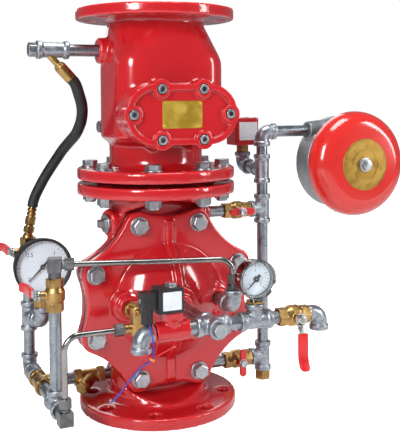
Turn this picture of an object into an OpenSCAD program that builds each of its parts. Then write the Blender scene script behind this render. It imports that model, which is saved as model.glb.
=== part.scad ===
// Diaphragm type sprinkler alarm valve: a diaphragm valve, a swing check valve bolted on top of it,
// and the supply, release and alarm trim that is piped around both.
// Millimetres. +Z runs up the flow, the origin is the centre of the inlet face, the front is -Y.

/* [Pipe flanges] */
// Outside diameter of the pipe flanges
flange_d = 285; // [280:1:300]
// Thickness of a flange rim
flange_t = 20; // [18:1:24]
// Distance from the bolt circle out to the edge of a flange
flange_edge = 22.5; // [21:0.5:25]
// Diameter of the bolt holes in the pipe flanges
flange_hole_d = 22; // [19:1:24]
// Height of the raised faces where the two valves meet
raised_h = 3; // [2:0.5:4]
// Distance from the bolt holes in to the raised face
raised_margin = 3; // [2:0.5:6]
// Thickness of the joint ring between the two valves
joint_t = 1.5; // [1:0.5:3]
// Diameter of the flange bolts
bolt_d = 16; // [14:1:18]
// Width across flats of the flange bolts
bolt_af = 24; // [22:1:26]
// Fillet between a neck and its flange
neck_fillet = 14; // [8:1:15]

/* [Diaphragm valve] */
// Face to face height of the diaphragm valve
valve_h = 410; // [405:1:430]
// Bore of the waterway
bore_d = 150; // [140:1:154]
// Outside diameter of the necks
neck_d = 174; // [170:1:178]
// Distance of the bonnet centre below the middle of the valve
chamber_drop = 2.5; // [0:0.5:5]
// Distance from the axis to the bonnet's seat
face_y = 39; // [37:1:42]
// Bolt circle of the bonnet
bonnet_pcd = 290; // [284:1:296]
// Radius of the lobe round each bonnet bolt
lobe_r = 24; // [22:1:26]
// Height of the hollow sides above the line through two bolts
lobe_dip = 14; // [11:1:16]
// Thickness of the body rim behind the bonnet
rim_t = 20; // [18:1:24]
// Thickness of the bonnet plate
bonnet_t = 20; // [18:1:24]
// Thickness of the rubber diaphragm
diaphragm_t = 5; // [4:0.5:6]
// Diameter of the dome on the bonnet
dome_d = 200; // [190:1:208]
// Rise of the dome above the bonnet plate
dome_rise = 50; // [44:1:56]
// Wall of the dome
dome_wall = 12; // [9:1:14]
// Width of the upright rib on the dome
rib_w = 15; // [10:1:18]
// Height of the rib above the dome
rib_h = 6; // [3:1:8]
// Diameter of the bonnet bolts
bonnet_bolt_d = 18; // [16:1:20]
// Width across flats of the bonnet bolts
bonnet_bolt_af = 27; // [25:1:30]
// Bore of the main seat
seat_d = 104; // [96:1:108]
// Travel of the main disc
disc_lift = 24; // [20:1:28]

/* [Check valve] */
// Face to face height of the check valve
check_h = 306; // [300:1:320]
// Outside diameter of the check valve necks
check_neck_d = 168; // [166:1:174]
// Outside diameter of the check valve barrel
barrel_d = 198; // [196:1:206]
// Inside diameter of the check valve barrel
barrel_bore = 176; // [172:1:180]
// Height of the cover centre above the check valve's lower face
cover_rise = 118.5; // [114:0.5:124]
// Distance from the axis to the cover's seat
chest_y = 111.5; // [108:0.5:116]
// Distance between the two outer cover screws
cover_w = 174; // [168:1:180]
// Distance between the cover screws of the top row
cover_row_w = 75; // [70:1:80]
// Distance between the top and bottom rows of cover screws
cover_row_h = 85; // [80:1:90]
// Height of the cover's oval
cover_oval_h = 102; // [98:1:106]
// Distance from the outer cover screws to the ends of the oval
cover_end = 13; // [11:1:15]
// Radius of the lobe round each cover screw
cover_lobe_r = 17; // [16:0.5:19]
// Width of the border round the cover's hollow
cover_border = 10; // [8:1:12]
// Thickness of the cover at its border
cover_t = 24; // [20:1:28]
// Depth of the hollow in the cover's face
cover_hollow = 7; // [4:1:10]
// Diameter of the cover screws
screw_d = 10; // [8:1:11]
// Diameter of the clapper
clapper_d = 136; // [130:1:140]
// Thickness of the clapper
clapper_t = 12; // [10:1:16]
// Diameter of the clapper's hinge pin
pin_d = 12; // [10:1:14]

/* [Pipe trim] */
// Outside diameter of the trim pipe
pipe_d = 21.3; // [21:0.1:22]
// Bore of the trim pipe
pipe_bore = 15.8; // [14:0.1:17]
// Distance from the centre of a threaded fitting to its ends
fit_reach = 28; // [27:1:31]
// Body diameter of a threaded fitting
fit_d = 27; // [25:0.5:29]
// Diameter of the band at the end of a fitting
band_d = 32; // [31:0.5:34]
// Width of the band at the end of a fitting
band_w = 8; // [6:1:9]
// Depth of a threaded socket
socket = 13; // [11:1:14]
// Outside diameter of the stainless control tube
tube_d = 10; // [9:0.5:12]
// Bend radius of the control tube
tube_bend = 24; // [20:1:28]
// Outside diameter of the rubber hose
hose_d = 20; // [18:1:22]

/* [Ball valves] */
// Length of a ball valve
ball_valve_l = 56; // [54:1:60]
// Width across flats at the ends of a ball valve
ball_valve_af = 27; // [26:1:30]
// Diameter of the ball
ball_d = 22; // [20:1:24]
// Diameter of the stem that turns the ball
stem_d = 8; // [7:0.5:9]
// Distance from the pipe axis to the top of the stem boss
stem_boss_h = 26; // [24:1:30]
// Length of a hand lever from its stem
lever_l = 77; // [70:1:90]
// Span of a butterfly handle
butterfly_w = 52; // [44:1:58]

/* [Gauges] */
// Diameter of the supply gauge
supply_gauge_d = 108; // [100:1:112]
// Diameter of the release gauge
release_gauge_d = 64; // [58:1:68]
// Depth of a gauge case
gauge_depth = 30; // [26:1:34]

/* [Water motor and gong] */
// Diameter of the gong
gong_d = 205; // [196:1:214]
// Depth of the gong
gong_depth = 40; // [37:1:46]
// Wall of the gong
gong_wall = 4; // [3:0.5:5]
// Diameter of the gong's round front plate
gong_plate_d = 100; // [90:1:104]
// Diameter of the water motor housing
motor_d = 184; // [178:1:190]
// Depth of the water motor housing
motor_t = 46; // [42:1:52]

/* [Places of the trim] */
// Distance of the alarm riser to the right of the axis
riser_x = 218; // [214:1:226]
// Height of the test valve
test_z = 57; // [55:1:62]
// Distance of the alarm valve below the top of the diaphragm valve
alarm_drop = 66; // [62:1:70]
// Height of the branch to the pressure switch
switch_z = 421; // [416:1:428]
// Height of the pipe to the water motor
gong_pipe_z = 492; // [486:1:500]
// Distance of the gong's centre to the right of the axis
gong_x = 400; // [394:1:412]
// Distance of the pressure switch behind the riser
switch_y = 84; // [80:1:92]
// Distance of the front manifold in front of the axis
manifold_y = 245; // [240:1:255]
// Distance of the supply column to the left of the axis
left_x = 205; // [202:1:212]
// Height of the supply run above the inlet face
run_z = 46; // [45:1:50]
// Distance of the hose column behind the axis
column_y = 150; // [146:1:156]
// Distance of the strainer behind the axis
strainer_y = 55; // [53:1:58]
// Distance of the feed riser in front of the axis
feed_y = 66; // [64:1:70]
// Distance of the lower control tube in front of the axis
lower_tube_y = 126; // [124:1:132]
// Height of the side port above the check valve's lower face
hose_rise = 230.5; // [226:0.5:234]

/* [Hidden] */
$fn = 48;
hull_fn = 32;
cut = 1;

// Directions
RIGHT = [1, 0, 0];
LEFT = [-1, 0, 0];
BACK = [0, 1, 0];
FRONT = [0, -1, 0];
UP = [0, 0, 1];
DOWN = [0, 0, -1];

// Clearances
thread_gap = 0.1;
run_gap = 0.05;
part_gap = 0.3;
hole_gap = 1;

// Colours
paint = "firebrick";
zinc = "lightslategray";
brass = "darkgoldenrod";
steel = "silver";
rubber = "#202024";
vinyl = "crimson";

// Engagement of a pipe end in its socket
engage = socket - 1;
// Bend radius inside an elbow
elbow_bend = fit_d / 2 + 1;
// Reach of a fitting's threaded male end
street_reach = 22;
boss_d = 42;

// Bolt circle, raised face and fillet of the flanges
flange_pcd = flange_d - 2 * flange_edge;
raised_d = flange_pcd - flange_hole_d - 2 * raised_margin;
fillet_room = (flange_pcd - bolt_af / cos(30) - max(neck_d, check_neck_d)) / 2 - 1;
neck_round = min(neck_fillet, fillet_room);

// Heights of the stack
chamber_z = valve_h / 2 - chamber_drop;
alarm_z = valve_h - alarm_drop;
check_z = valve_h + joint_t;
top_z = check_z + check_h;
neck_r = neck_d / 2;
check_neck_r = check_neck_d / 2;
barrel_r = barrel_d / 2;

// Bonnet
bonnet_back = face_y + diaphragm_t;
bonnet_front = bonnet_back + bonnet_t;
dome_r = dome_d / 2;
dome_sphere = (dome_r * dome_r + dome_rise * dome_rise) / (2 * dome_rise);
dome_centre = bonnet_front + dome_rise - dome_sphere;
bonnet_corners = [for (i = [0:7]) polar(bonnet_pcd / 2, 22.5 + 45 * i)];
port_x = 83;
centre_port_y = bonnet_front + dome_rise + 14;
side_port_y = bonnet_front + 26;
chamber_r = dome_r + 4;
chamber_floor = face_y - 21;
inlet_d = seat_d;
inlet_y = 48;
saddle_r = bonnet_pcd / 2 + lobe_r + 3;
bonnet_head_h = 11.5;
washer_t = 3;
rib_end = bonnet_pcd / 2 * cos(22.5) + lobe_dip - 7;
blind = 6;
bonnet_grip = washer_t + bonnet_t + diaphragm_t;

// Main disc
seat_top = chamber_floor + 4;
seat_ring_d = seat_d + 16;
seat_ring_h = 12;
disc_d = seat_ring_d + 4;
stud_d = 22;
retainer_d = disc_d - 12;
retainer_t = 6;
spring_r = 28;
spring_wire = 5;
spring_turns = 6;

// Check valve
cover_z = check_z + cover_rise;
cover_corners = [[cover_w / 2, 0], [cover_row_w / 2, cover_row_h / 2], [-cover_row_w / 2, cover_row_h / 2],
    [-cover_w / 2, 0], [-cover_row_w / 2, -cover_row_h / 2], [cover_row_w / 2, -cover_row_h / 2]];
cover_oval_w = cover_w + 2 * cover_end;
cover_back = chest_y + joint_t;
cover_front = cover_back + cover_t;
window_r = cover_row_h / 2 - 13;
window_w = cover_w - 26;
chest_t = 34;
chest_r = 40;
chest_x = barrel_r - chest_r - 1;
chest_front = chest_y - 5.5;
chest_top = top_z - 104;
screw_grip = 16;
screw_head_d = 1.6 * screw_d;
screw_sink = screw_d - 1;
check_floor_h = 78;
check_floor = check_z + check_floor_h;
check_seat_lap = 8;
check_seat_d = clapper_d - 2 * check_seat_lap;
check_ring_wall = 13;
check_ring_d = check_seat_d + 2 * check_ring_wall;
check_ring_h = 10;
check_seat_top = check_floor + 2;
pin_inset = 18;
pin_y = barrel_bore / 2 - pin_inset;
pin_z = check_seat_top + clapper_t / 2 + 8;
hose_boss_x = barrel_r + 10;
hose_port_z = check_z + hose_rise;

// Alarm side
alarm_boss_x = neck_r + 14;
valve_gap = 1;
right_valve_x = riser_x - fit_reach - valve_gap - ball_valve_l / 2;
motor_pipe_inset = 27;
gong_z = gong_pipe_z - motor_d / 2 + motor_pipe_inset;
motor_inlet_x = gong_x - sqrt(pow(motor_d / 2, 2) - pow(gong_pipe_z - gong_z, 2)) - 17;
gong_rim_y = 40;
gong_front_y = gong_rim_y + gong_depth;

// Front manifold
manifold_z = chamber_z;
tee_x = 75;
release_valve_x = 144;
release_elbow_x = release_valve_x + ball_valve_l / 2 + street_reach;
solenoid_x = -68;
solenoid_l = 54;
drain_x = solenoid_x - solenoid_l / 2 - street_reach;
right_port_y = 150;

// Supply side
column_tee_z = 146;
hose_valve_z = 268;
feed_valve_z = chamber_z + 30.5;
gauge_turn = 14;
gauge_arm = 58;
gauge_elbow = [-left_x + gauge_arm * sin(gauge_turn), column_y - gauge_arm * cos(gauge_turn), column_tee_z];
upper_block = [-left_x, -feed_y, feed_valve_z + ball_valve_l / 2 + street_reach];
lower_block = [-left_x, -lower_tube_y, run_z];
upper_corner = [port_x, -right_port_y, upper_block.z];
lower_tube_z = chamber_z - 24.5;
lower_corner = [-left_x, -lower_tube_y, lower_tube_z];
block_w = 23;
nut_af = 19;
nut_l = 16;
strainer_x = -115;
strainer_dir = [-0.7, -0.65, -0.3];
hose_tee_x = -hose_boss_x - 51 - fit_reach;

// Gauge places, with the hex bushing that each stands on
supply_bushing_h = 18;
release_bushing_h = 4;
gauge_neck = 3;
supply_gauge = gauge_elbow + UP * (fit_reach + supply_bushing_h + gauge_neck + supply_gauge_d / 2);
release_gauge = [tee_x, -manifold_y, manifold_z]
    + UP * (fit_reach + release_bushing_h + gauge_neck + release_gauge_d / 2);

// Hose and wire routes
hose_tap = [hose_tee_x - 14, 0, hose_port_z];
hose_lean = unit([0.68, 0, -0.73]);
hose_top = hose_tap + hose_lean * 68;
hose_rest = [-left_x, column_y, hose_valve_z + ball_valve_l / 2];
hose_rise_dir = unit([0.17, 0, 0.985]);
hose_end = hose_rest + hose_rise_dir * 58;
hose_sag = [[-142, 2, 566], [-134, 11, 543], [-131, 26, 522], [-131, 46, 505], [-132, 69, 491],
    [-137, 91, 478], [-145, 111, 462], [-155, 126, 442], [-167, 137, 420], [-179, 144, 397]];
hose_route = concat([hose_top, hose_top + hose_lean * 8], hose_sag,
    [hose_end + hose_rise_dir * 10, hose_end]);
red_run = [[2, 0, 0], [2, -2, -5], [3, -11, -15], [2, -14, -31], [-4, -13, -47], [-18, -13, -52],
    [-24, -13, -47], [-16, -13, -41], [0, -13, -44], [16, -11, -40], [30, -9, -36]];
blue_run = [[-3, 0, 0], [-3, -3, -5], [-4, -14, -15], [-3, -17, -31], [-8, -17, -48], [-20, -17, -54],
    [-28, -16, -61], [-40, -7, -79], [-52, 5, -101], [-60, 15, -114]];
wire_d = 2.4;
hose_steps = 3;
wire_steps = 2;

function unit(v) = v / norm(v);
function polar(r, a) = r * [cos(a), sin(a)];

// Places children with local X along a and local Z along c
module seat(p, a, c) {
    b = cross(c, a);
    multmatrix([[a.x, b.x, c.x, p.x], [a.y, b.y, c.y, p.y], [a.z, b.z, c.z, p.z], [0, 0, 0, 1]])
        children();
}

// Turns local Z to a direction
module aim(v) rotate([0, acos(v.z / norm(v)), atan2(v.y, v.x)]) children();

// Local Z to the front, local Y up
module frontward(z = 0) translate([0, 0, z]) rotate([90, 0, 0]) children();

module tube(d, bore, h) difference() {
    cylinder(d = d, h = h);
    translate([0, 0, -cut]) cylinder(d = bore, h = h + 2 * cut);
}

module hex(af, h) cylinder(d = af / cos(30), h = h, $fn = 6);

module pipe_between(a, b) translate(a) aim(b - a) tube(pipe_d, pipe_bore, norm(b - a));

// Socket for a pipe end, sunk below the local origin, with its waterway
module pipe_socket(way) {
    translate([0, 0, -socket]) cylinder(d = pipe_d + 2 * thread_gap, h = socket + cut);
    translate([0, 0, -way]) cylinder(d = pipe_bore, h = way);
}

// Ring of holes or bolts in a pipe flange, two of them astride the front
module flange_ring() for (i = [0:7]) rotate(22.5 + 45 * i) translate([flange_pcd / 2, 0, 0]) children();

// Outline through round lobes; each hollow side bites a little into its two lobes
lobe_bite = 0.1;
lobe_inset = 0.5;

function cut_r(a, b, lobe, dip) = let (h = norm(b - a) / 2)
    (h * h + dip * dip - lobe * lobe) / (2 * (lobe - dip));
function outward(a, b) = let (d = unit(b - a)) [d.y, -d.x];
function cut_at(a, b, lobe, dip) = (a + b) / 2 + outward(a, b) * (dip + cut_r(a, b, lobe, dip));
function side_points(a, b, lobe, dip) = let (c = cut_at(a, b, lobe, dip))
    [a, a + unit(c - a) * (lobe - lobe_inset), b + unit(c - b) * (lobe - lobe_inset)];

module lobed(corners, lobe, dip) {
    count = len(corners);
    difference() {
        union() {
            for (c = corners) translate(c) circle(r = lobe);
            polygon([for (i = [0:count - 1])
                each side_points(corners[i], corners[(i + 1) % count], lobe, dip)]);
        }
        for (i = [0:count - 1])
            translate(cut_at(corners[i], corners[(i + 1) % count], lobe, dip))
                circle(r = cut_r(corners[i], corners[(i + 1) % count], lobe, dip) + lobe_bite);
    }
}

module stadium(w, r) {
    square([w - 2 * r, 2 * r], center = true);
    for (s = [-1, 1]) translate([s * (w / 2 - r), 0]) circle(r = r);
}

// Half profile of a fillet in the corner at the local origin
module fillet(r) difference() {
    square(r);
    translate([r, r]) circle(r = r);
}

// Quarter bend of round section from local X to local Y
module bend_piece(d, bend) translate([bend, bend, 0]) rotate(180) rotate_extrude(angle = 90)
    translate([bend, 0]) circle(d = d);

// Tube with one bend: leg A along local X, leg B along local Y, corner at the origin
module corner_tube(d, bend, la, lb, over = 0) {
    bend_piece(d, bend);
    translate([bend, 0, 0]) rotate([0, 90, 0]) cylinder(d = d, h = la - bend + over);
    translate([0, bend, 0]) rotate([-90, 0, 0]) cylinder(d = d, h = lb - bend + over);
}

module bent_tube(p, a, la, b, lb) seat(p, a, cross(a, b)) difference() {
    corner_tube(tube_d, tube_bend, la, lb);
    corner_tube(tube_d - 2, tube_bend, la, lb, cut);
}

// Threaded fittings
module leg(from = 0) rotate_extrude() polygon([[0, from], [fit_d / 2, from],
    [fit_d / 2, fit_reach - band_w - 2], [band_d / 2, fit_reach - band_w], [band_d / 2, fit_reach - 1],
    [band_d / 2 - 1, fit_reach], [0, fit_reach]]);

module fitting(p, ways) translate(p) difference() {
    union() {
        sphere(d = fit_d);
        for (w = ways) aim(w) leg();
    }
    for (w = ways) aim(w) translate([0, 0, fit_reach]) pipe_socket(fit_reach);
}

module elbow(p, a, b) seat(p, a, cross(a, b)) difference() {
    union() {
        bend_piece(fit_d, elbow_bend);
        rotate([0, 90, 0]) leg(elbow_bend);
        rotate([-90, 0, 0]) leg(elbow_bend);
    }
    bend_piece(pipe_bore, elbow_bend);
    rotate([0, 90, 0]) translate([0, 0, fit_reach]) pipe_socket(fit_reach - elbow_bend);
    rotate([-90, 0, 0]) translate([0, 0, fit_reach]) pipe_socket(fit_reach - elbow_bend);
}

// Elbow whose leg along a is a male end, screwed into the next piece
module street_elbow(p, a, b) seat(p, a, cross(a, b)) difference() {
    union() {
        bend_piece(fit_d, elbow_bend);
        rotate([0, 90, 0]) translate([0, 0, elbow_bend]) {
            cylinder(d = fit_d, h = street_reach - elbow_bend - 1);
            cylinder(d = pipe_d, h = street_reach - elbow_bend + engage);
        }
        rotate([-90, 0, 0]) leg(elbow_bend);
    }
    bend_piece(pipe_bore, elbow_bend);
    rotate([0, 90, 0]) translate([0, 0, elbow_bend]) cylinder(d = pipe_bore, h = street_reach);
    rotate([-90, 0, 0]) translate([0, 0, fit_reach]) pipe_socket(fit_reach - elbow_bend);
}

// Hexagon plug in a socket: head outside the local origin, shank below it
plug_head_h = 7;

module plug(af, head = plug_head_h) {
    hex(af, head);
    translate([0, 0, -engage]) cylinder(d = pipe_d, h = engage);
}

// Ball valve along local Z, stem along local X
module ball_valve() {
    end_w = 14;
    half = ball_valve_l / 2;
    color(brass) difference() {
        union() {
            for (s = [0, 1]) mirror([0, 0, s]) translate([0, 0, half - end_w]) hex(ball_valve_af, end_w);
            rotate_extrude() polygon([[0, -half + end_w], [ball_valve_af / 2, -half + end_w],
                [ball_d / 2 + 6, -6], [ball_d / 2 + 6, 8], [ball_valve_af / 2, half - end_w],
                [0, half - end_w]]);
            rotate([0, 90, 0]) cylinder(d = stem_d + 8, h = stem_boss_h);
        }
        sphere(d = ball_d + 2 * part_gap);
        for (s = [0, 1]) mirror([0, 0, s]) translate([0, 0, half]) pipe_socket(half);
        rotate([0, 90, 0]) cylinder(d = stem_d + 2 * run_gap, h = stem_boss_h + cut);
    }
}

// Ball with its stem; the waterway lies across the pipe when the valve is shut
stem_tip = 11;

module ball_and_stem(shut) color(steel) {
    rotate([shut ? 90 : 0, 0, 0]) rotate_extrude() difference() {
        circle(d = ball_d);
        translate([-ball_d, -ball_d]) square([ball_d + pipe_bore / 2 - 1, 2 * ball_d]);
    }
    rotate([0, 90, 0]) translate([0, 0, ball_d / 2 - 1.5])
        cylinder(d = stem_d, h = stem_boss_h + stem_tip - ball_d / 2);
}

// Cranked hand lever along local Y on the stem, with its vinyl sleeve
stem_nut_af = 13;
stem_nut_h = 5;

module hand_lever(length) {
    foot = stem_boss_h + part_gap;
    plate = 3;
    crank = 6;
    hub_r = 10;
    sleeve_from = 21.5;
    sleeve_w = 17;
    sleeve_t = 8;
    sleeve_to = length + 3 - sleeve_w / 2;
    bar_w = 13;
    color(steel) {
        difference() {
            intersection() {
                rotate([90, 0, 90]) linear_extrude(foot + plate + crank) union() {
                    circle(r = hub_r);
                    translate([0, -bar_w / 2]) square([length - bar_w / 2, bar_w]);
                    translate([length - bar_w / 2, 0]) circle(d = bar_w);
                }
                translate([0, 0, -hub_r]) linear_extrude(2 * hub_r) polygon([[foot, -hub_r],
                    [foot + plate, -hub_r], [foot + plate, hub_r], [foot + plate + crank, hub_r + 9],
                    [foot + plate + crank, length], [foot + crank, length], [foot + crank, hub_r + 10],
                    [foot, hub_r + 1]]);
            }
            rotate([0, 90, 0]) cylinder(d = stem_d + 2 * run_gap, h = foot + plate + crank + cut);
        }
        translate([foot + plate, 0, 0]) rotate([0, 90, 0]) difference() {
            hex(stem_nut_af, stem_nut_h);
            translate([0, 0, -cut]) cylinder(d = stem_d + 2 * run_gap, h = stem_nut_h + 2 * cut);
        }
    }
    color(vinyl) translate([foot + crank + plate / 2 - sleeve_t / 2, 0, 0]) difference() {
        rotate([90, 0, 90]) linear_extrude(sleeve_t) union() {
            translate([sleeve_from, -sleeve_w / 2]) square([sleeve_to - sleeve_from, sleeve_w]);
            translate([sleeve_to, 0]) circle(d = sleeve_w);
        }
        translate([sleeve_t / 2 - plate / 2 - run_gap, 0, 0])
            rotate([90, 0, 90]) linear_extrude(plate + 2 * run_gap) union() {
                translate([0, -bar_w / 2 - run_gap]) square([length - bar_w / 2, bar_w + 2 * run_gap]);
                translate([length - bar_w / 2, 0]) circle(d = bar_w + 2 * run_gap);
            }
    }
}

// Butterfly handle across local Y on the stem, held by a nut
module butterfly() {
    foot = stem_boss_h + part_gap;
    plate = 5;
    hub_d = 18;
    tip_d = 13;
    color(vinyl) difference() {
        translate([foot, 0, 0]) rotate([90, 0, 90]) linear_extrude(plate) union() {
            circle(d = hub_d);
            for (s = [-1, 1]) {
                translate([s * (butterfly_w - tip_d) / 2, 0]) circle(d = tip_d);
                polygon([[0, -hub_d / 3], [s * (butterfly_w - tip_d) / 2, -tip_d / 2],
                    [s * (butterfly_w - tip_d) / 2, tip_d / 2], [0, hub_d / 3]]);
            }
        }
        rotate([0, 90, 0]) cylinder(d = stem_d + 2 * run_gap, h = foot + plate + cut);
    }
    color(steel) translate([foot + plate, 0, 0]) rotate([0, 90, 0]) difference() {
        hex(stem_nut_af, stem_nut_h);
        translate([0, 0, -cut]) cylinder(d = stem_d + 2 * run_gap, h = stem_nut_h + 2 * cut);
    }
}

// Gauge parts, local Z toward the reader, local Y up
gauge_floor = 3;
gauge_wall = 3;
lens_t = 2;
dial_t = 1;
spindle_d = 3;
gauge_stem_d = 12;

module gauge_case(d, bushing_h, shade) color(shade) {
    bezel = 2.5;
    difference() {
        union() {
            cylinder(d = d - 2 * bezel, h = gauge_depth);
            translate([0, 0, gauge_depth - 7]) rotate_extrude() polygon([[0, 0], [d / 2 - 1, 0], [d / 2, 1],
                [d / 2, 6], [d / 2 - 1, 7], [0, 7]]);
            translate([0, 0, gauge_depth / 2]) rotate([90, 0, 0])
                cylinder(d = gauge_stem_d, h = d / 2 + gauge_neck + bushing_h - 1);
        }
        translate([0, 0, gauge_floor]) cylinder(d = d - 2 * gauge_wall - 2 * bezel, h = gauge_depth);
        translate([0, 0, gauge_depth - lens_t - 1]) cylinder(d = d - 2 * gauge_wall, h = gauge_depth);
    }
    translate([0, 0, gauge_floor - 1]) cylinder(d = spindle_d, h = gauge_depth - lens_t - gauge_floor - 3);
}

module gauge_dial(d) translate([0, 0, gauge_floor])
    tube(d - 2 * gauge_wall - 6, spindle_d + 2 * part_gap, dial_t);

module gauge_lens(d) translate([0, 0, gauge_depth - lens_t - 1])
    cylinder(d = d - 2 * gauge_wall - 2 * run_gap, h = lens_t);

// Pointer at the foot of the scale, with its tail and hub
module gauge_pointer(d) translate([0, 0, gauge_depth - lens_t - 8]) rotate(225) difference() {
    hub_h = 3;
    tail = d * 0.14;
    tip = d * 0.34;
    union() {
        cylinder(d = 9, h = hub_h);
        translate([0, 0, 1]) linear_extrude(1.2)
            polygon([[-tail, -2.4], [-tail, 2.4], [0, 1.8], [tip, 0.5], [tip, -0.5], [0, -1.8]]);
    }
    translate([0, 0, -cut]) cylinder(d = spindle_d + 2 * run_gap, h = hub_h + 2 * cut);
}

// Hex bushing that carries a gauge
module gauge_bushing(bushing_h) difference() {
    union() {
        hex(ball_valve_af, bushing_h);
        translate([0, 0, -engage]) cylinder(d = pipe_d, h = engage);
    }
    translate([0, 0, -engage - cut])
        cylinder(d = gauge_stem_d + 2 * thread_gap, h = engage + bushing_h + 2 * cut);
}

module supply_gauge_at() seat(supply_gauge + BACK * gauge_depth / 2, RIGHT, FRONT) children();
module release_gauge_at() seat(release_gauge + BACK * gauge_depth / 2, RIGHT, FRONT) children();

// Round sweep along a list of points; the first and last spans stay straight
function spline(p, i, t) = let (a = p[i - 1], b = p[i], c = p[i + 1], d = p[i + 2])
    0.5 * (2 * b + (c - a) * t + (2 * a - 5 * b + 4 * c - d) * t * t + (3 * b - a - 3 * c + d) * t * t * t);
function between(p, i, t) = i == 0 || i == len(p) - 2 ? p[i] + (p[i + 1] - p[i]) * t : spline(p, i, t);
function smooth(p, steps) =
    [for (i = [0:len(p) - 2]) for (k = [0:steps - 1]) between(p, i, k / steps), p[len(p) - 1]];
function heading(p, i) = unit(p[min(i + 1, len(p) - 1)] - p[max(i - 1, 0)]);
function level(v, t) = unit(v - t * (v * t));
function carried(p, i) =
    i == 0 ? level([0.31, 0.93, 0.2], heading(p, 0)) : level(carried(p, i - 1), heading(p, i));

module sweep(p, d, sides) {
    rings = len(p);
    points = [for (i = [0:rings - 1]) let (t = heading(p, i), n = carried(p, i), b = cross(t, n))
        for (k = [0:sides - 1]) p[i] + d / 2 * (n * cos(360 * k / sides) + b * sin(360 * k / sides))];
    walls = [for (i = [0:rings - 2]) for (k = [0:sides - 1]) let (m = (k + 1) % sides)
        [i * sides + k, (i + 1) * sides + k, (i + 1) * sides + m, i * sides + m]];
    first = [for (k = [0:sides - 1]) k];
    last = [for (k = [sides - 1:-1:0]) (rings - 1) * sides + k];
    polyhedron(points, concat([first], walls, [last]));
}

// Diaphragm valve
inlet_mouth = flange_t + 4;
leg_wall = 14;
leg_drop = 120;
leg_rise = 45;
crown_rise = 90;
crown_back = 10;
leg_d = inlet_d - 4;
outlet_d = leg_d - 8;
plug_boss_z = valve_h - 72;
plug_boss_turn = 190;
plug_boss_x = neck_r + 14;
strainer_boss_x = sqrt(neck_r * neck_r - pow(strainer_y - pipe_d / 2 - 2, 2)) + 2;
rim_round = 30;

module body_profile() {
    rim_z = valve_h - raised_h - flange_t;
    square([flange_d / 2, flange_t]);
    translate([0, rim_z]) square([flange_d / 2, flange_t]);
    translate([0, rim_z]) square([raised_d / 2, flange_t + raised_h]);
    square([neck_r, rim_z + cut]);
    translate([neck_r, flange_t]) fillet(neck_round);
    translate([neck_r, rim_z]) mirror([0, 1]) fillet(neck_round);
}

module drum_profile() {
    drum_r = chamber_r + 13;
    translate([0, rim_round / 2 - rim_round]) square([drum_r - rim_round, face_y + rim_round / 2]);
    translate([0, rim_round / 2]) square([drum_r, face_y - rim_round / 2]);
    translate([drum_r - rim_round, rim_round / 2]) circle(r = rim_round);
}

module valve_body() color(paint) difference() {
    union() {
        rotate_extrude() body_profile();
        hull() {
            translate([0, 0, inlet_mouth]) cylinder(r = neck_r, h = 2, $fn = hull_fn);
            translate([0, inlet_y - 2, chamber_z - leg_drop])
                cylinder(d = leg_d + 2 * leg_wall, h = leg_drop + leg_rise, $fn = hull_fn);
            translate([0, crown_back, chamber_z + crown_rise])
                cylinder(r = neck_r - crown_back, h = 2, $fn = hull_fn);
        }
        frontward(chamber_z) {
            rotate_extrude() drum_profile();
            translate([0, 0, face_y - rim_t]) linear_extrude(rim_t) lobed(bonnet_corners, lobe_r, lobe_dip);
        }
        for (z = [test_z, alarm_z]) translate([0, 0, z]) aim(RIGHT) cylinder(d = boss_d, h = alarm_boss_x);
        translate([0, 0, plug_boss_z]) rotate(plug_boss_turn) rotate([0, 90, 0])
            cylinder(d = boss_d + 8, h = plug_boss_x);
        translate([0, strainer_y, run_z]) rotate([0, -90, 0]) cylinder(d = boss_d - 4, h = strainer_boss_x);
    }
    translate([0, 0, -cut]) cylinder(d = bore_d, h = inlet_mouth + cut);
    translate([0, 28, inlet_mouth - cut]) cylinder(d = leg_d, h = chamber_z - chamber_r - 10 - inlet_mouth);
    translate([0, inlet_y - 2, inlet_mouth + 46])
        cylinder(d = leg_d, h = chamber_z + leg_d / 2 - inlet_mouth - 46);
    translate([0, 16, chamber_z + leg_d / 2 + 32])
        cylinder(d = outlet_d, h = valve_h - chamber_z - leg_d / 2);
    translate([0, 0, valve_h - raised_h - flange_t + 2]) cylinder(d = bore_d, h = flange_t + raised_h);
    frontward(chamber_z) {
        translate([0, 0, face_y]) cylinder(r1 = saddle_r, r2 = saddle_r + 8, h = neck_r);
        translate([0, 0, chamber_floor]) cylinder(r = chamber_r, h = face_y);
        translate([0, 0, chamber_floor - seat_ring_h])
            cylinder(d = seat_ring_d + 2 * thread_gap, h = seat_ring_h + cut);
        translate([0, 0, -inlet_y]) cylinder(d = seat_d, h = inlet_y + chamber_floor);
        for (c = bonnet_corners) translate([c.x, c.y, face_y - rim_t + blind - 2])
            cylinder(d = bonnet_bolt_d + 2 * thread_gap, h = rim_t);
    }
    for (z = [-cut, valve_h - raised_h - flange_t - cut]) translate([0, 0, z])
        flange_ring() cylinder(d = flange_hole_d, h = flange_t + 2 * cut);
    for (z = [test_z, alarm_z]) translate([alarm_boss_x, 0, z]) rotate([0, 90, 0]) pipe_socket(60);
    translate([0, 0, plug_boss_z]) rotate(plug_boss_turn) translate([plug_boss_x, 0, 0])
        rotate([0, 90, 0]) pipe_socket(60);
    translate([-strainer_boss_x, strainer_y, run_z]) rotate([0, -90, 0]) pipe_socket(45);
}

module seat_rings() color(brass) {
    frontward(chamber_z) translate([0, 0, chamber_floor - seat_ring_h])
        tube(seat_ring_d, seat_d, seat_top - chamber_floor + seat_ring_h);
    translate([0, 0, check_floor - check_ring_h])
        tube(check_ring_d, check_seat_d, check_seat_top - check_floor + check_ring_h);
}

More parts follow.
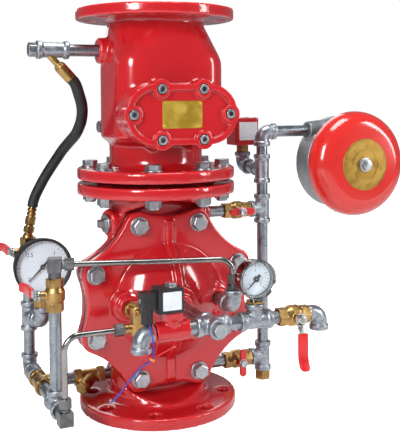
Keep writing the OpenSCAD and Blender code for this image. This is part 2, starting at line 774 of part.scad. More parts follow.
module diaphragm() color(rubber) frontward(chamber_z) translate([0, 0, face_y]) difference() {
    linear_extrude(diaphragm_t) lobed(bonnet_corners, lobe_r - 0.5, lobe_dip - 0.5);
    translate([0, 0, -cut]) cylinder(d = stud_d + 2 * part_gap, h = diaphragm_t + 2 * cut);
    for (c = bonnet_corners) translate([c.x, c.y, -cut])
        cylinder(d = bonnet_bolt_d + hole_gap, h = diaphragm_t + 2 * cut);
}

// Disc behind the diaphragm and retainer in front of it, joined by a stud
module main_disc() color("darkslategray") frontward(chamber_z) rotate_extrude() polygon([
    [0, seat_top + part_gap], [disc_d / 2 - 2, seat_top + part_gap], [disc_d / 2, seat_top + part_gap + 2],
    [disc_d / 2, face_y - 6], [disc_d / 2 - 6, face_y - part_gap], [stud_d / 2, face_y - part_gap],
    [stud_d / 2, bonnet_back + part_gap], [retainer_d / 2 - 2, bonnet_back + part_gap],
    [retainer_d / 2, bonnet_back + part_gap + 2], [retainer_d / 2, bonnet_back + part_gap + retainer_t],
    [0, bonnet_back + part_gap + retainer_t]]);

spring_from = bonnet_back + retainer_t + 2 * part_gap + spring_wire / 2;
spring_roof = dome_centre + sqrt(pow(dome_sphere - dome_wall, 2) - pow(spring_r + spring_wire, 2));
spring_to = spring_roof - spring_wire / 2 - part_gap;
spring_rings = spring_turns * 12;

spring_pitch = (spring_to - spring_from) / spring_rings;

module disc_spring() color(steel) frontward(chamber_z) sweep([for (i = [0:spring_rings])
    [spring_r * cos(30 * i), spring_r * sin(30 * i), spring_from + spring_pitch * i]], spring_wire, 8);

module dome_ball(shift) translate([0, 0, dome_centre]) sphere(r = dome_sphere + shift, $fn = 96);

module bonnet() color(paint) frontward(chamber_z) difference() {
    union() {
        translate([0, 0, bonnet_back]) linear_extrude(bonnet_t) lobed(bonnet_corners, lobe_r, lobe_dip);
        intersection() {
            union() {
                dome_ball(0);
                intersection() {
                    dome_ball(rib_h);
                    translate([-rib_w / 2, -dome_d, 0]) cube([rib_w, 2 * dome_d, 2 * dome_d]);
                }
            }
            translate([0, 0, bonnet_front - 1]) cylinder(d = dome_d + 40, h = dome_d);
        }
        translate([-rib_w / 2, -rib_end, bonnet_front - 1]) cube([rib_w, 2 * rib_end, rib_h + 1]);
        translate([0, 0, bonnet_front]) cylinder(d = boss_d, h = centre_port_y - bonnet_front);
        translate([0, 0, bonnet_front]) cylinder(d = boss_d + 24, h = centre_port_y - bonnet_front - 10);
        for (s = [-1, 1]) translate([s * port_x, 0, bonnet_front - 1]) {
            cylinder(d = boss_d - 6, h = side_port_y - bonnet_front + 1);
            cylinder(d = boss_d + 10, h = side_port_y - bonnet_front - 6);
        }
    }
    intersection() {
        dome_ball(-dome_wall);
        translate([0, 0, bonnet_back - cut]) cylinder(d = dome_d + 20, h = dome_d);
    }
    translate([0, 0, centre_port_y]) pipe_socket(40);
    for (s = [-1, 1]) translate([s * port_x, 0, side_port_y]) pipe_socket(40);
    for (c = bonnet_corners) translate([c.x, c.y, bonnet_back - cut])
        cylinder(d = bonnet_bolt_d + hole_gap, h = bonnet_t + 2 * cut);
}

// Hexagon bolt, head above the local origin and shank below it
module hex_bolt(d, af, head, shank) {
    hex(af, head);
    translate([0, 0, -shank]) cylinder(d = d, h = shank + cut);
}

module bonnet_bolts() color(zinc) frontward(chamber_z)
    for (c = bonnet_corners) translate([c.x, c.y, bonnet_front]) {
        cylinder(d = bonnet_bolt_af + 6, h = washer_t);
        translate([0, 0, washer_t])
            hex_bolt(bonnet_bolt_d, bonnet_bolt_af, bonnet_head_h, bonnet_grip + rim_t - blind);
    }

pin_half = barrel_bore / 2 - 38;
pin_head_af = 19;
pin_boss_d = 30;
pin_boss_x = sqrt(barrel_r * barrel_r - pow(pin_y - pin_head_af / 2 - 2, 2)) + 2;
pin_plug_d = pin_d + 6;

module pipe_plugs() color(steel) {
    translate([0, 0, plug_boss_z]) rotate(plug_boss_turn) translate([plug_boss_x, 0, 0]) rotate([0, 90, 0]) {
        cylinder(d = boss_d - 8, h = 5);
        translate([-7, -7, 4]) cube([14, 14, 12]);
        translate([0, 0, -engage]) cylinder(d = pipe_d, h = engage + 1);
    }
    translate([0, -manifold_y - fit_reach, manifold_z]) rotate([90, 0, 0]) plug(20);
    translate([hose_tee_x - fit_reach, 0, hose_port_z]) rotate([0, -90, 0]) plug(22, 14);
    for (s = [0, 1]) mirror([s, 0, 0]) translate([pin_boss_x, pin_y, pin_z]) rotate([0, 90, 0]) {
        hex(pin_head_af, plug_head_h);
        translate([0, 0, pin_half + 1 - pin_boss_x])
            cylinder(d = pin_plug_d - 2 * thread_gap, h = pin_boss_x - pin_half);
    }
}

// Check valve
barrel_step = 12;

// Oval with a lobe round each cover screw
module cover_outline(inset = 0) {
    stadium(cover_oval_w - 2 * inset, cover_oval_h / 2 - inset);
    for (c = cover_corners) translate(c) circle(r = cover_lobe_r - inset);
}

module check_profile() {
    translate([0, check_z]) square([raised_d / 2, raised_h + 1]);
    translate([0, check_z + raised_h]) square([flange_d / 2, flange_t]);
    translate([0, top_z - flange_t]) square([flange_d / 2, flange_t]);
    translate([0, check_z + raised_h]) square([check_neck_r, check_h - raised_h]);
    translate([check_neck_r, check_z + raised_h + flange_t]) fillet(neck_round);
    translate([check_neck_r, top_z - flange_t]) mirror([0, 1]) fillet(neck_round);
}

module check_body() color(paint) difference() {
    union() {
        rotate_extrude() check_profile();
        hull() {
            translate([0, 0, check_floor]) cylinder(r = barrel_r, h = chest_top - check_floor, $fn = hull_fn);
            translate([0, 0, check_floor - barrel_step])
                cylinder(r = check_neck_r, h = top_z - flange_t - check_floor + barrel_step, $fn = hull_fn);
            for (s = [-1, 1]) translate([s * chest_x, chest_r - chest_front, check_floor]) {
                cylinder(r = chest_r, h = chest_top - check_floor, $fn = hull_fn);
                translate([0, 0, chest_top - check_floor]) sphere(r = chest_r, $fn = hull_fn);
            }
        }
        frontward(cover_z) translate([0, 0, chest_y - chest_t]) linear_extrude(chest_t) cover_outline();
        translate([0, 0, hose_port_z]) rotate([0, -90, 0]) cylinder(d = boss_d + 4, h = hose_boss_x);
        translate([-pin_boss_x, pin_y, pin_z]) aim(RIGHT) cylinder(d = pin_boss_d, h = 2 * pin_boss_x);
    }
    rotate_extrude() polygon([[0, check_z - cut], [bore_d / 2, check_z - cut], [bore_d / 2, check_z + 20],
        [check_seat_d / 2, check_z + 36], [check_seat_d / 2, check_floor - check_ring_h],
        [check_ring_d / 2 + thread_gap, check_floor - check_ring_h],
        [check_ring_d / 2 + thread_gap, check_floor],
        [barrel_bore / 2, check_floor], [barrel_bore / 2, chest_top - 2], [bore_d / 2, chest_top + 33],
        [bore_d / 2, top_z + cut], [0, top_z + cut]]);
    frontward(cover_z) {
        linear_extrude(chest_y + cut) stadium(window_w, window_r);
        for (c = cover_corners) translate([c.x, c.y, chest_y - screw_grip - 2])
            cylinder(d = screw_d + 2 * thread_gap, h = screw_grip + 2 + cut);
    }
    for (z = [check_z + raised_h - cut, top_z - flange_t - cut]) translate([0, 0, z])
        flange_ring() cylinder(d = flange_hole_d, h = flange_t + 2 * cut);
    translate([-hose_boss_x, 0, hose_port_z]) rotate([0, -90, 0]) pipe_socket(60);
    translate([-pin_boss_x - cut, pin_y, pin_z]) aim(RIGHT)
        cylinder(d = pin_d + 2 * run_gap, h = 2 * pin_boss_x + 2 * cut);
    for (s = [0, 1]) mirror([s, 0, 0]) translate([pin_half, pin_y, pin_z]) rotate([0, 90, 0])
        cylinder(d = pin_plug_d, h = pin_boss_x);
}

module clapper() color("darkgoldenrod") difference() {
    lug_w = 40;
    lug_d = pin_d + 12;
    union() {
        translate([0, 0, check_seat_top + part_gap]) {
            cylinder(d = clapper_d, h = clapper_t);
            cylinder(d = clapper_d / 2, h = clapper_t + 8);
            translate([-lug_w / 2, 0, 4]) cube([lug_w, pin_y, clapper_t]);
        }
        translate([-lug_w / 2, pin_y, pin_z]) rotate([0, 90, 0]) cylinder(d = lug_d, h = lug_w);
    }
    translate([-lug_w, pin_y, pin_z]) rotate([0, 90, 0]) cylinder(d = pin_d + 2 * run_gap, h = 2 * lug_w);
}

module clapper_pin() color(steel) translate([-pin_half, pin_y, pin_z]) aim(RIGHT)
    cylinder(d = pin_d, h = 2 * pin_half);

plate_w = 72;
plate_h = 46;
plate_t = 1.2;

// Hollow face round the screw bosses, with a sunk seat for each head
module check_cover() color(paint) frontward(cover_z) difference() {
    translate([0, 0, cover_back]) linear_extrude(cover_t) cover_outline();
    translate([0, 0, cover_front - cover_hollow]) linear_extrude(cover_hollow + cut) difference() {
        stadium(cover_oval_w - 2 * cover_border, cover_oval_h / 2 - cover_border);
        for (c = cover_corners) translate(c) circle(r = cover_lobe_r - 2);
    }
    for (c = cover_corners) translate([c.x, c.y, cover_back - cut]) {
        cylinder(d = screw_d + hole_gap, h = cover_t + 2 * cut);
        translate([0, 0, cover_t - screw_sink + cut]) cylinder(d = screw_head_d + 3, h = cover_t);
    }
}

module gaskets() color(rubber) {
    translate([0, 0, valve_h]) tube(raised_d, bore_d + 2, joint_t);
    frontward(cover_z) translate([0, 0, chest_y]) linear_extrude(joint_t) difference() {
        cover_outline(0.5);
        stadium(window_w + 2, window_r + 1);
        for (c = cover_corners) translate(c) circle(d = screw_d + hole_gap);
    }
}

module cover_screws() color(zinc) frontward(cover_z)
    for (c = cover_corners) translate([c.x, c.y, cover_front - screw_sink]) cap_screw();

module cap_screw() difference() {
    union() {
        cylinder(d = screw_head_d, h = screw_d);
        translate([0, 0, screw_sink - cover_t - joint_t - screw_grip])
            cylinder(d = screw_d, h = cover_t - screw_sink + joint_t + screw_grip + 1);
    }
    translate([0, 0, screw_d / 2]) hex(0.8 * screw_d, screw_d);
}

flange_nut_h = 13;
flange_head_h = 10;

module flange_bolts() color(zinc) {
    grip = 2 * flange_t + 2 * raised_h + joint_t;
    translate([0, 0, check_z + raised_h + flange_t]) flange_ring()
        hex_bolt(bolt_d, bolt_af, flange_head_h, grip + flange_nut_h + 4);
    translate([0, 0, valve_h - raised_h - flange_t - flange_nut_h]) flange_ring() difference() {
        hex(bolt_af, flange_nut_h);
        translate([0, 0, -cut]) cylinder(d = bolt_d + 2 * thread_gap, h = flange_nut_h + 2 * cut);
    }
}

// Supply side
ferrule_l = 30;
tail_d = 12;
hose_stem_d = 15;
hose_ring_d = 18;
hose_rings = [42, 50];
hose_nuts = [[19, 9, 11], [18, 24, 15]];

// Crimped sleeve on the upper hose end
module ferrule(p, v) translate(p) aim(v) {
    cylinder(d = hose_d + 1, h = ferrule_l);
    translate([0, 0, ferrule_l]) cylinder(d = hose_d - 2, h = 4);
}

// Lower hose stem with two nuts (across flats, start, height) and two rings
module hose_stem(l) {
    cylinder(d = hose_stem_d, h = l);
    for (n = hose_nuts) translate([0, 0, n[1]]) hex(n[0], n[2]);
    for (z = hose_rings) translate([0, 0, z]) cylinder(d = hose_ring_d, h = 4);
}

module hose_fittings() color(brass) {
    tail_from = pipe_bore / 2 + 3;
    ferrule(hose_top, -hose_lean);
    translate(hose_tap + hose_lean * tail_from) aim(hose_lean)
        cylinder(d = tail_d, h = norm(hose_top - hose_tap) - tail_from);
    translate(hose_rest) aim(hose_rise_dir) hose_stem(norm(hose_end - hose_rest));
    translate(hose_rest) sphere(d = pipe_d - 1);
    translate(hose_rest + DOWN * engage) cylinder(d = pipe_d, h = engage);
}

module rubber_hose() color(rubber) sweep(smooth(hose_route, hose_steps), hose_d, 10);

module hose_valve_at() seat([-left_x, column_y, hose_valve_z], LEFT, DOWN) children();
module feed_valve_at() seat([-left_x, -feed_y, feed_valve_z], LEFT, DOWN) children();
module hose_valve_body() hose_valve_at() ball_valve();
module hose_valve_ball() hose_valve_at() ball_and_stem(true);
module hose_valve_lever() hose_valve_at() hand_lever(lever_l);
module feed_valve_body() feed_valve_at() ball_valve();
module feed_valve_ball() feed_valve_at() ball_and_stem(true);
module feed_valve_lever() feed_valve_at() hand_lever(lever_l);

// Pipe between two fittings with reaches ra and rb
module nipple(a, ra, b, rb) {
    v = unit(b - a);
    pipe_between(a + v * (ra - engage), b - v * (rb - engage));
}

column = [-left_x, column_y, run_z];
column_tee = [-left_x, column_y, column_tee_z];
brass_tee = [-left_x, strainer_y, run_z];
feed_tee = [-left_x, -feed_y, run_z];
strainer = [strainer_x, strainer_y, run_z];
cross_at = [0, -manifold_y, manifold_z];
tee_at = [tee_x, -manifold_y, manifold_z];
release_valve = [release_valve_x, -manifold_y, manifold_z];
solenoid = [solenoid_x, -manifold_y, manifold_z];
right_elbow = [port_x, -right_port_y, manifold_z];
test_tee = [riser_x, 0, test_z];
alarm_tee = [riser_x, 0, alarm_z];
switch_tee = [riser_x, 0, switch_z];
riser_top = [riser_x, 0, gong_pipe_z];
switch_elbow = [riser_x, switch_y, switch_z];
switch_neck = 14;
switch_neck_af = 23;
switch_foot = switch_elbow + UP * (fit_reach + switch_neck);
test_valve = [right_valve_x, 0, test_z];
alarm_valve = [right_valve_x, 0, alarm_z];
half_valve = ball_valve_l / 2;

module pipes() color(zinc) {
    nipple(column, fit_reach, column_tee, fit_reach);
    nipple(column_tee, fit_reach, [-left_x, column_y, hose_valve_z], half_valve);
    nipple(column_tee, fit_reach, gauge_elbow, fit_reach);
    nipple(column, fit_reach, brass_tee, fit_reach);
    nipple(brass_tee, fit_reach, feed_tee, fit_reach);
    nipple(brass_tee, fit_reach, strainer, half_valve);
    nipple(strainer, half_valve, [-strainer_boss_x, strainer_y, run_z], 0);
    nipple(feed_tee, fit_reach, [-left_x, -feed_y, feed_valve_z], half_valve);
    nipple([-hose_boss_x, 0, hose_port_z], 0, [hose_tee_x, 0, hose_port_z], fit_reach);
    nipple([0, -centre_port_y, manifold_z], 0, cross_at, fit_reach);
    nipple([port_x, -side_port_y, manifold_z], 0, right_elbow, fit_reach);
    nipple(cross_at, fit_reach, tee_at, fit_reach);
    nipple(tee_at, fit_reach, release_valve, half_valve);
    nipple(cross_at, fit_reach, solenoid, solenoid_l / 2);
    for (v = [test_valve, alarm_valve]) nipple([alarm_boss_x, 0, v.z], 0, v, half_valve);
    nipple(test_valve, half_valve, test_tee, fit_reach);
    nipple(alarm_valve, half_valve, alarm_tee, fit_reach);
    nipple(test_tee, fit_reach, alarm_tee, fit_reach);
    nipple(alarm_tee, fit_reach, switch_tee, fit_reach);
    nipple(switch_tee, fit_reach, riser_top, fit_reach);
    nipple(switch_tee, fit_reach, switch_elbow, fit_reach);
    nipple(riser_top, fit_reach, [motor_inlet_x, 0, gong_pipe_z], 0);
}

module supply_fittings() color(zinc) {
    coupling = 30;
    elbow(column, UP, FRONT);
    fitting(column_tee, [UP, DOWN, unit(gauge_elbow - column_tee)]);
    elbow(gauge_elbow, unit(column_tee - gauge_elbow), UP);
    fitting(feed_tee, [BACK, FRONT, UP]);
    difference() {
        fitting([hose_tee_x, 0, hose_port_z], [LEFT, RIGHT]);
        translate(hose_tap) aim(hose_lean) cylinder(d = tail_d + 2 * thread_gap, h = band_d);
    }
    translate((column + brass_tee) / 2 - BACK * coupling / 2) aim(BACK) {
        tube(fit_d + 1, pipe_d + 2 * thread_gap, coupling);
        tube(band_d, pipe_d + 2 * thread_gap, 5);
        translate([0, 0, coupling - 5]) tube(band_d, pipe_d + 2 * thread_gap, 5);
    }
}

// Strainer tee, gauge bushings, riser cap and the switch's nipple
module brass_fittings() color(brass) {
    fitting(brass_tee, [BACK, FRONT, RIGHT]);
    translate(gauge_elbow + UP * fit_reach) gauge_bushing(supply_bushing_h);
    translate(tee_at + UP * fit_reach) gauge_bushing(release_bushing_h);
    translate(test_tee + DOWN * fit_reach) aim(DOWN) plug(ball_valve_af, 17);
    translate(switch_elbow + UP * fit_reach) difference() {
        union() {
            translate([0, 0, -engage]) cylinder(d = pipe_d, h = switch_neck + 2 * engage);
            translate([0, 0, part_gap]) hex(switch_neck_af, switch_neck - 2 * part_gap);
        }
        translate([0, 0, -engage - cut]) cylinder(d = pipe_bore, h = switch_neck + 2 * engage + 2 * cut);
    }
}

strainer_leg = 38;
strainer_leg_d = 23;
strainer_bore = strainer_leg_d - 7;
strainer_end = 13;
strainer_leg_at = strainer + RIGHT * 8;

module strainer_body() color(brass) difference() {
    union() {
        translate(strainer) {
            for (v = [LEFT, RIGHT]) aim(v) translate([0, 0, half_valve - strainer_end])
                hex(ball_valve_af, strainer_end);
            aim(RIGHT) cylinder(d = ball_valve_af - 2, h = ball_valve_l - strainer_end, center = true);
        }
        translate(strainer_leg_at) aim(strainer_dir) cylinder(d = strainer_leg_d, h = strainer_leg);
    }
    for (v = [LEFT, RIGHT]) translate(strainer + v * half_valve) aim(v) pipe_socket(half_valve);
    translate(strainer_leg_at) aim(strainer_dir) cylinder(d = strainer_bore, h = strainer_leg + cut);
}

module strainer_cap() color(brass) translate(strainer_leg_at) aim(strainer_dir) {
    shank = 10;
    translate([0, 0, strainer_leg]) hex(strainer_leg_d - 1, 6);
    translate([0, 0, strainer_leg - shank]) cylinder(d = strainer_bore - 2 * thread_gap, h = shank + 1);
}

// Square block elbow: threaded spigot along local X, control tube along local Z
tube_seat = block_w / 2 - 6;

module block_elbow(spigot) {
    difference() {
        union() {
            cube(block_w, center = true);
            rotate([0, 90, 0]) cylinder(d = pipe_d, h = spigot);
            cylinder(d = tube_d + 5, h = block_w / 2 + 5);
        }
        rotate([0, 90, 0]) cylinder(d = tube_d - 2, h = spigot + cut);
        cylinder(d = tube_d - 2, h = block_w);
        translate([0, 0, tube_seat]) cylinder(d = tube_d + 2 * thread_gap, h = block_w);
    }
    translate([0, 0, block_w / 2 + 5]) tube_nut();
}

module tube_nut() difference() {
    hex(nut_af, nut_l);
    translate([0, 0, -cut]) cylinder(d = tube_d + 2 * thread_gap, h = nut_l + 2 * cut);
}

// Adapter from a pipe socket to a control tube
module tube_adapter() {
    difference() {
        union() {
            translate([0, 0, -engage]) cylinder(d = pipe_d, h = engage + 1);
            hex(22, 8);
            cylinder(d = tube_d + 5, h = 11);
        }
        translate([0, 0, -engage - cut]) cylinder(d = tube_d - 2, h = engage + 12);
        translate([0, 0, 2]) cylinder(d = tube_d + 2 * thread_gap, h = 12);
    }
    translate([0, 0, 11]) tube_nut();
}

upper_dir = unit(upper_corner - upper_block);
lower_end_x = port_x + 22;
tube_insert = 8;

module tube_fittings() color("slategray") {
    seat(upper_block, DOWN, upper_dir) block_elbow(street_reach + engage);
    seat(lower_block, BACK, UP) block_elbow(lower_tube_y - feed_y - fit_reach + engage);
    translate(right_elbow + UP * fit_reach) tube_adapter();
    translate([-lower_end_x, -lower_tube_y, lower_tube_z]) aim(LEFT) tube_nut();
}

module upper_tube() color(steel) bent_tube(upper_corner, -upper_dir,
    norm(upper_block - upper_corner) - tube_seat - 1, DOWN, upper_corner.z - right_elbow.z - fit_reach - 3);

module lower_tube() color(steel) bent_tube(lower_corner, DOWN, lower_corner.z - lower_block.z - tube_seat - 1,
    RIGHT, left_x - lower_end_x + tube_insert);

// Fitting of the lower tube in the bonnet's left port, with its vent tap
left_port = [-port_x, -side_port_y, manifold_z];
port_turn = [-port_x, -lower_tube_y, lower_tube_z];
port_rise = manifold_z - lower_tube_z;
port_body_d = 23;
tap_w = 28;

module port_elbow() color(brass) difference() {
    union() {
        translate(left_port + BACK * engage) aim(FRONT)
            cylinder(d = pipe_d, h = lower_tube_y - side_port_y + engage);
        translate(left_port + FRONT * 3) aim(FRONT) hex(ball_valve_af - 2, 11);
        translate(port_turn + DOWN * port_body_d / 2) cylinder(d = port_body_d, h = port_rise + port_body_d);
        translate(port_turn + UP * (port_rise + port_body_d / 2)) hex(17, plug_head_h);
        translate(port_turn) aim(LEFT) cylinder(d = tube_d + 6, h = lower_end_x - port_x);
        translate(port_turn + UP * port_rise + FRONT * 9) aim(FRONT) cylinder(d = 12, h = 16);
        translate(port_turn + UP * port_rise + [-tap_w / 2, -25, -4]) cube([tap_w, 5, 8]);
    }
    translate(left_port + BACK * (engage + cut)) aim(FRONT)
        cylinder(d = tube_d - 2, h = lower_tube_y - side_port_y + engage);
    translate(port_turn) cylinder(d = tube_d - 2, h = port_rise);
    translate(port_turn) aim(LEFT) cylinder(d = tube_d - 2, h = lower_end_x);
    translate(port_turn + LEFT * (lower_end_x - port_x - tube_insert - 1)) aim(LEFT)
        cylinder(d = tube_d + 2 * thread_gap, h = lower_end_x);
}

// Gauges
module supply_gauge_case() supply_gauge_at() gauge_case(supply_gauge_d, supply_bushing_h, "#24242a");
module release_gauge_case() release_gauge_at() gauge_case(release_gauge_d, release_bushing_h, steel);
module supply_gauge_pointer() color("black") supply_gauge_at() gauge_pointer(supply_gauge_d);
module release_gauge_pointer() color("black") release_gauge_at() gauge_pointer(release_gauge_d);

module gauge_dials() color("white") {
    supply_gauge_at() gauge_dial(supply_gauge_d);
    release_gauge_at() gauge_dial(release_gauge_d);
}

module gauge_lenses() color("lightcyan", 0.4) {
    supply_gauge_at() gauge_lens(supply_gauge_d);
    release_gauge_at() gauge_lens(release_gauge_d);
}

// Alarm side
module alarm_fittings() color(zinc) {
    fitting(test_tee, [UP, DOWN, LEFT]);
    fitting(alarm_tee, [UP, DOWN, LEFT]);
    fitting(switch_tee, [UP, DOWN, BACK]);
    elbow(switch_elbow, FRONT, UP);
    elbow(riser_top, DOWN, RIGHT);
}

module test_valve_at() seat(test_valve, FRONT, RIGHT) children();
module alarm_valve_at() seat(alarm_valve, FRONT, RIGHT) children();
module test_valve_body() test_valve_at() ball_valve();
module alarm_valve_body() alarm_valve_at() ball_valve();

module test_valve_handle() test_valve_at() {
    ball_and_stem(true);
    butterfly();
}

module alarm_valve_handle() alarm_valve_at() {
    ball_and_stem(false);
    rotate([90, 0, 0]) butterfly();
}

switch_w = 52;
switch_t = 50;
switch_h = 54;

module switch_box() color(paint) translate(switch_foot) difference() {
    round = 7;
    linear_extrude(switch_h) {
        square([switch_w - 2 * round, switch_t], center = true);
        square([switch_w, switch_t - 2 * round], center = true);
        for (x = [-1, 1], y = [-1, 1])
            translate([x * (switch_w / 2 - round), y * (switch_t / 2 - round)]) circle(r = round);
    }
    aim(DOWN) pipe_socket(socket + 6);
}

motor_front = 20;
motor_back = motor_t - motor_front;
motor_lid = 6;
motor_wall = 8;
motor_cavity = motor_d - 22;
motor_inlet_l = 60;
rotor_d = 20;
axle_d = 12;
striker_z = gong_rim_y + 12;

module gong_at() translate([gong_x, 0, 0]) frontward(gong_z) children();

module gong_motor() color(zinc) {
    difference() {
        union() {
            gong_at() translate([0, 0, motor_lid - motor_back])
                cylinder(d = motor_d, h = motor_t - motor_lid);
            translate([motor_inlet_x, 0, gong_pipe_z]) aim(RIGHT)
                cylinder(d1 = band_d + 4, d2 = motor_t, h = motor_inlet_l);
            translate([gong_x, 0, gong_z - motor_d / 2 - 10]) cylinder(d = band_d, h = 24);
        }
        gong_at() {
            translate([0, 0, motor_lid - motor_back - cut])
                cylinder(d = motor_cavity, h = motor_t - motor_lid - motor_wall);
            cylinder(d = rotor_d + 2, h = motor_t);
        }
        translate([motor_inlet_x, 0, gong_pipe_z]) rotate([0, -90, 0]) pipe_socket(motor_d / 2);
        translate([gong_x, 0, gong_z - motor_d / 2 - 10]) rotate([180, 0, 0]) pipe_socket(30);
    }
    gong_at() translate([0, 0, -motor_back]) tube(motor_d, axle_d + 2 * thread_gap, motor_lid - thread_gap);
}

module gong_axle() color(steel) gong_at() {
    collar = gong_front_y - gong_wall - 6;
    nut_at = gong_front_y + plate_t;
    translate([0, 0, -motor_back - 9]) cylinder(d = axle_d, h = motor_back + 9 + nut_at + 11);
    translate([0, 0, -motor_back - 8]) hex(19, 8);
    translate([0, 0, collar]) cylinder(d = 26, h = 6);
    translate([0, 0, nut_at]) cylinder(d = 28, h = 2);
    translate([0, 0, nut_at + 2]) hex(19, 8);
}

// Water wheel and striker on one sleeve that runs on the axle
module gong_rotor() color("dimgray") gong_at() difference() {
    wheel_d = motor_cavity - 8;
    wheel_t = 16;
    buckets = 18;
    arm_r = gong_d / 2 - 24;
    from = motor_lid - motor_back + 2;
    union() {
        translate([0, 0, from]) cylinder(d = rotor_d, h = striker_z + 7 - from);
        difference() {
            translate([0, 0, from + 4]) cylinder(d = wheel_d, h = wheel_t);
            for (i = [0:buckets - 1]) rotate(360 / buckets * i)
                translate([wheel_d / 2, 0, from + 4 + wheel_t / 2]) rotate([90, 0, 0])
                    cylinder(d = wheel_t - 4, h = 10, center = true);
        }
        translate([-5, 0, striker_z - 3]) cube([10, arm_r, 6]);
        translate([0, arm_r, striker_z - 9]) cylinder(d = 20, h = 18);
    }
    translate([0, 0, -motor_t]) cylinder(d = axle_d + 2 * run_gap, h = 2 * motor_t + gong_depth);
}

gong_round = gong_depth - 6;

module gong_section(r, depth, round) {
    square([r - round, depth]);
    square([r, depth - round]);
    translate([r - round, depth - round]) circle(r = round);
}

module gong_shell() color(paint) gong_at() translate([0, 0, gong_rim_y]) difference() {
    rotate_extrude() intersection() {
        gong_section(gong_d / 2, gong_depth, gong_round);
        square([gong_d, gong_depth]);
    }
    rotate_extrude() intersection() {
        translate([0, -cut])
            gong_section(gong_d / 2 - gong_wall, gong_depth - gong_wall + cut, gong_round - gong_wall);
        translate([0, -cut]) square([gong_d, gong_depth]);
    }
    cylinder(d = axle_d + 2 * thread_gap, h = gong_depth + cut);
}

// Bare plates on the gong and on the check valve cover
module brass_plates() color("gold") {
    gong_at() translate([0, 0, gong_front_y]) tube(gong_plate_d, axle_d + 2 * thread_gap, plate_t);
    frontward(cover_z) translate([-plate_w / 2, -plate_h / 2, cover_front - cover_hollow])
        cube([plate_w, plate_h, plate_t]);
}

// Front manifold
module manifold_fittings() color(zinc) {
    fitting(cross_at, [LEFT, RIGHT, BACK, FRONT]);
    fitting(tee_at, [LEFT, RIGHT, UP]);
    elbow(right_elbow, BACK, UP);
    street_elbow([release_elbow_x, -manifold_y, manifold_z], LEFT, DOWN);
    street_elbow([drain_x, -manifold_y, manifold_z], RIGHT, DOWN);
}

module release_valve_at() seat(release_valve, FRONT, RIGHT) children();
module release_valve_body() release_valve_at() ball_valve();
module release_valve_ball() release_valve_at() ball_and_stem(true);
module release_valve_lever() release_valve_at() hand_lever(lever_l);

coil_w = 41;
coil_t = 34;
coil_h = 38;
coil_from = 31;
coil_shift = 6;
core_d = 14;
core_tip_d = 10;
coil_nut_h = 6;
plunger_d = 10;
orifice_d = 5;
feed_d = 3.4;
seat_lip_r = orifice_d / 2 + 2;
seat_h = 8;
seat_room_d = 22;
yoke_w = 28;
yoke_from = 17;

// Pilot valve: fed from the right round the seat, drained to the left
module solenoid_body() color(paint) translate(solenoid) difference() {
    union() {
        aim(RIGHT) cylinder(d = band_d, h = solenoid_l, center = true);
        cylinder(d = seat_room_d + 8, h = yoke_from + 1);
        translate([-yoke_w / 2, -yoke_w / 2, yoke_from])
            cube([yoke_w, yoke_w, coil_from - yoke_from - part_gap]);
        cylinder(d = core_d, h = coil_from + coil_h);
        cylinder(d = core_tip_d, h = coil_from + coil_h + coil_nut_h + 1);
    }
    for (v = [LEFT, RIGHT]) translate(v * solenoid_l / 2) aim(v) pipe_socket(socket);
    translate([-solenoid_l / 2, 0, 0]) aim(RIGHT) cylinder(d = orifice_d + 3, h = solenoid_l / 2 + 2);
    translate([solenoid_l / 2, 0, 0]) aim(LEFT)
        cylinder(d = orifice_d + 3, h = solenoid_l / 2 - seat_room_d / 2 + 4);
    translate([seat_room_d / 2 - 2, 0, 0]) cylinder(d = feed_d, h = seat_h);
    rotate_extrude() polygon([[0, 0], [orifice_d / 2, 0], [orifice_d / 2, seat_h], [seat_lip_r, seat_h],
        [seat_lip_r, seat_h - 2], [seat_room_d / 2, seat_h - 2], [seat_room_d / 2, seat_h + 3],
        [plunger_d / 2 + run_gap, seat_h + 3], [plunger_d / 2 + run_gap, coil_from + coil_h - 3],
        [0, coil_from + coil_h - 3]]);
}

module solenoid_coil() {
    color(rubber) translate(solenoid + UP * coil_from) difference() {
        translate([-coil_w / 2 - coil_shift, -coil_t / 2, 0]) cube([coil_w, coil_t, coil_h]);
        translate([0, 0, -cut]) cylinder(d = core_d + 2 * part_gap, h = coil_h + 2 * cut);
    }
    color(steel) translate(solenoid + UP * (coil_from + coil_h + thread_gap)) difference() {
        hex(17, coil_nut_h);
        translate([0, 0, -cut]) cylinder(d = core_tip_d + 2 * thread_gap, h = coil_nut_h + 2 * cut);
    }
}

connector_w = 23;
connector_t = 24;
connector_h = 25;
connector_at = solenoid + [-coil_w / 2 - coil_shift - connector_w, -connector_t / 2, coil_from + 7.5];
gland_d = 18;
gland_l = 22.5;
gland = connector_at + [gland_d / 2, gland_d / 2, -gland_l];

module solenoid_connector() color(rubber) {
    translate(connector_at) cube([connector_w, connector_t, connector_h]);
    translate(gland) cylinder(d = gland_d, h = gland_l + 1);
}

module solenoid_plunger() color(steel) translate(solenoid + UP * (seat_h + part_gap))
    cylinder(d = plunger_d, h = coil_from + 20);

// Both wires leave the gland a little below its mouth
wire_start = gland + [5.5, -5.5, -0.8];

module wire_red() color("red") sweep(smooth([for (p = red_run) wire_start + p], wire_steps), wire_d, 8);
module wire_blue() color("blue") sweep(smooth([for (p = blue_run) wire_start + p], wire_steps), wire_d, 8);

